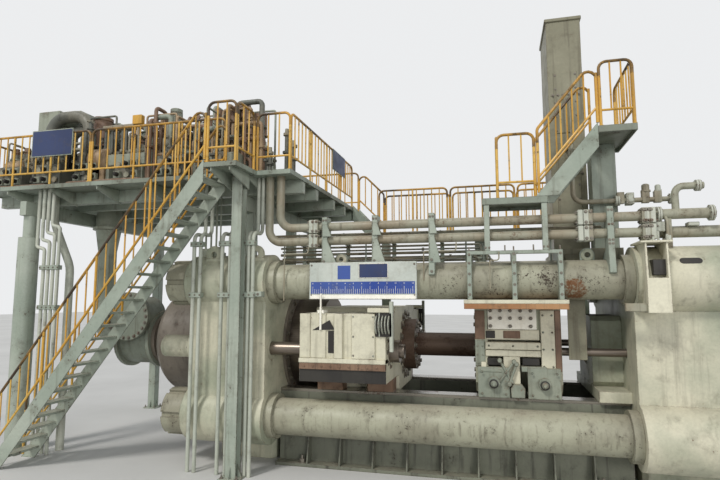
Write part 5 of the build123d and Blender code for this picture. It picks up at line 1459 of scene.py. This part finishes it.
class PRESS_OT_deck_pipework(Operator):
    """Crowded pipes, valves, motors, vessels and frames on the platform"""

    bl_idname = "press.deck_pipework"
    bl_label = "Platform pipework"

    def execute(self, context):
        draw = np.random.default_rng(11)
        grey, brown, green, tan, metal, dark = (Shape() for _ in range(6))
        z = DECK_Z
        pipe(grey, [(-8.85, -1.25, z), (-8.85, -1.25, 7.22), (-7.8, -1.25, 7.22), (-7.8, -1.25, z)], 0.4,
             0.13, 20, 10)
        flanged(grey, [(-8.85, -1.25, 5.9), (-7.8, -1.25, 6.1), (-8.85, -1.25, 6.6)], Z, 0.2, 0.04, 10)
        blocks(green, [(-9.0, -0.9, 6.44), (-8.72, -0.9, 7.25), (-6.4, -1.72, 5.95), (-3.92, -1.8, 5.68)],
               [(0.6, 0.6, 1.98), (1.1, 0.5, 0.3), (1.0, 0.24, 0.24), (0.3, 0.28, 0.46)], 0.012)
        blocks(green, places((-6.8, -6.4, -6.0), -1.72, 5.64), (0.08, 0.2, 0.4), 0.004)
        filter_body = [(0, 0.19), (0.06, 0.19), (0.06, 0.14), (0.9, 0.14), (0.9, 0.19), (1.5, 0.19),
                       (1.52, 0.21), (1.58, 0.21), (1.6, 0.15)]
        turned(brown, (-7.32, -1.4, z), Z, filter_body, sides=24)
        for centre, radius in (((-7.05, -1.68, 6.0), 0.25), ((-9.35, -1.6, 5.95), 0.22)):
            vessel = [(0, radius * 0.55), (0.02, radius * 0.8), (0.08, radius), (0.42, radius),
                      (0.48, radius * 0.8), (0.5, radius * 0.5)]
            turned(tan, point(*centre) - X * 0.25, X, vessel, sides=28)
            blocks(tan, point(*centre) - Z * (centre[2] - z) / 2, (0.34, 0.3, centre[2] - z), 0.01)
        y = -1.75
        for x in (-6.85, -6.6, -6.35):
            left, right = x - 0.08, x + 0.08
            pipe(grey, [(left, y, 6.62), (left, y, 6.12), (right, y, 6.12), (right, y, 6.62)], 0.07, 0.032)
            rods(grey, (x, y, 6.0), (x, y, 6.13), 0.04)
            blocks(metal, (x, y, 6.66), (0.24, 0.14, 0.1), 0.008)
        spread_out, crowded = 64, 32  # lines over the whole front row, and more near the stair's head
        for number in range(spread_out + crowded):
            x = draw.uniform(-9.6, -3.45) if number < spread_out else draw.uniform(-6.0, -3.5)
            y = draw.uniform(-1.75, -0.75)
            high = z + draw.uniform(0.55, 1.65) * (1.0 if -9.3 < x < -3.7 else 0.6)
            reach = draw.uniform(0.25, 0.9) * draw.choice((-1, 1))
            radius = draw.choice((0.022, 0.03, 0.04, 0.055))
            along = draw.random() < 0.6
            far = (np.clip(x + reach, -9.7, -3.45), y) if along else (x, np.clip(y + reach, -1.85, -0.6))
            too_short = np.hypot(far[0] - x, far[1] - y) < 0.2
            if too_short:
                continue
            shape = (grey, brown, grey, green, tan)[draw.integers(5)]
            bend = min(0.09, radius * 2.2)
            pipe(shape, [(x, y, z), (x, y, high), (*far, high), (*far, z)], bend, radius, steps=4)
            levels = z + 0.12 + (high - z - 0.24) * draw.random(2)
            flanged(shape, [(x, y, levels[0]), (*far, levels[1])], Z, radius * 1.9, 0.02, 6)
            if number % 3 == 0 and high < z + 1.2:
                middle = point((x + far[0]) / 2, (y + far[1]) / 2, high)
                wheel = middle + Z * 0.24
                bonnet = [(0, radius * 1.3), (0.06, radius * 1.3), (0.06, radius * 2), (0.08, radius * 2),
                          (0.08, radius), (0.2, radius * 0.8), (0.2, 0.012), (0.25, 0.012)]
                turned(shape, middle, Z, bonnet, sides=14)
                hoop(metal, wheel, Z, 0.075, 0.009, 18)
                rods(metal, wheel - X * 0.075, wheel + X * 0.075, 0.006, 6)
        low, high = corners("valve_blocks")
        foot = 5.93
        coil = [(0, 0.045), (0.13, 0.045), (0.14, 0.03), (0.18, 0.03)]
        for x in np.arange(low[0] + 0.15, high[0] - 0.1, 0.21):
            tall = draw.uniform(0.12, 0.5)
            y = VALVE_ROW_Y + draw.uniform(-0.12, 0.12)
            blocks(metal if draw.random() < 0.4 else dark, (x, y, foot + tall / 2), (0.12, 0.14, tall), 0.008)
            turned(dark, (x, y, foot + tall), Z, coil, sides=14)
            plug = point(x, y, foot + tall * 0.6)
            rods(metal, plug - Y * 0.07, plug - Y * 0.2, 0.03, 10)
        for x in (-9.5, -8.3, -5.6, -4.95, -4.35, -4.0, -3.62):
            y = draw.uniform(-1.35, -0.9)
            finned(brown if x > -5.2 else green, point(x, y, z + draw.uniform(0.8, 1.25)), Z, 0.48, 0.13)
            turned(grey, (x, y, z), Z, [(0, 0.15), (0.5, 0.15), (0.5, 0.1), (1.26, 0.1)], sides=18)
        for x in (-4.75, -4.55, -4.2, -3.95, -3.75):
            tall = draw.uniform(1.35, 1.72)
            column = [(0, 0.05), (tall * 0.4, 0.05), (tall * 0.4, 0.095), (tall * 0.48, 0.095),
                      (tall * 0.48, 0.06), (tall * 0.8, 0.06), (tall * 0.82, 0.1), (tall, 0.1)]
            turned(brown, (x, -1.15 + draw.uniform(-0.2, 0.2), z), Z, column, sides=16)
        for x0, x1, y, radius in ((-7.7, -5.9, -1.98, 0.035), (-7.5, -6.1, -2.04, 0.028),
                                  (-7.0, -5.7, -1.93, 0.03), (-9.6, -8.2, -1.98, 0.03)):
            level = z + radius
            bent = [(x0, y + 0.3, level), (x0, y, level), (x1, y, level), (x1, y + 0.25, level)]
            pipe(brown, bent, 0.1, radius)
        for x in (-9.3, -8.45, -5.4, -4.6):
            posts = places((x, x + 0.5), -0.7, z)
            rods(metal, posts, posts + Z * 1.72, 0.022)
            bars = places(x, -0.7, (z + 1.7, z + 1.1))
            rods(metal, bars, bars + X * 0.5, 0.02)
        valve = [(0, 0.07), (0.05, 0.07), (0.05, 0.04), (0.14, 0.035)]
        y = -1.45
        for x, level in ((-3.42, 0.62), (-3.3, 0.5), (-2.95, 0.85), (-2.8, 0.6)):
            rods(grey, (x, y, z), (x, y, z + level), 0.04, 12)
            flanged(grey, (x, y, z + level * 0.6), Z, 0.08, 0.02)
            turned(metal, (x, y, z + level), Z, valve, sides=14)
        rods(metal, (-6.16, -1.72, 6.0), (-6.16, -1.72, 6.72), 0.018)
        box = Shape()
        blocks(box, (-6.16, -1.74, 6.8), (0.22, 0.12, 0.2), 0.01)
        show_all(
            FRAME_BODY,
            (box, "yellow_box", "yellow", "railing_yellow"),
            (grey, "deck_lines_grey", "valve", "tank_grey"),
            (brown, "deck_lines_brown", "brown", "tank_grey"),
            (green, "deck_lines_green", "tank", "tank_grey"),
            (tan, "deck_lines_tan", "tan", "tank_grey"),
            (metal, "deck_fittings", "pipe", "tank_grey"),
            (dark, "deck_coils", "dark", "tank_grey"),
        )
        return {"FINISHED"}


OPERATORS = (
    PRESS_OT_stage,
    PRESS_OT_finishes,
    PRESS_OT_railings,
    PRESS_OT_access_railings,
    PRESS_OT_frame_bolts,
    PRESS_OT_moving_bolts,
    PRESS_OT_scale_face,
    PRESS_OT_crosshead_face,
    PRESS_OT_container_face,
    PRESS_OT_rod_pipework,
    PRESS_OT_right_pipework,
    PRESS_OT_deck_pipework,
    PRESS_OT_steelwork,
    PRESS_OT_tank_and_pumps,
    PRESS_OT_valve_faces,
)


class PRESS_PT_sidebar(Panel):
    """Lists the press's operators"""

    bl_idname = "PRESS_PT_sidebar"
    bl_label = "Extrusion press"
    bl_space_type = "VIEW_3D"
    bl_region_type = "UI"
    bl_category = "Press"

    def draw(self, context):
        for operator in OPERATORS:
            self.layout.operator(operator.bl_idname)


CLASSES = (PressSizes, PressColours, *OPERATORS, PRESS_PT_sidebar)


def register():
    """Register the classes, and hang the sizes and colours on the scene."""
    for kind in CLASSES:
        bpy.utils.register_class(kind)
    bpy.types.Scene.press_sizes = PointerProperty(type=PressSizes)
    bpy.types.Scene.press_colours = PointerProperty(type=PressColours)


def unregister():
    """Take away what register put there."""
    del bpy.types.Scene.press_colours
    del bpy.types.Scene.press_sizes
    for kind in reversed(CLASSES):
        bpy.utils.unregister_class(kind)


def main():
    """Build the looks in order."""
    register()
    for operator in OPERATORS:
        group, name = operator.bl_idname.split(".")
        getattr(getattr(bpy.ops, group), name)()


if __name__ == "__main__":
    main()
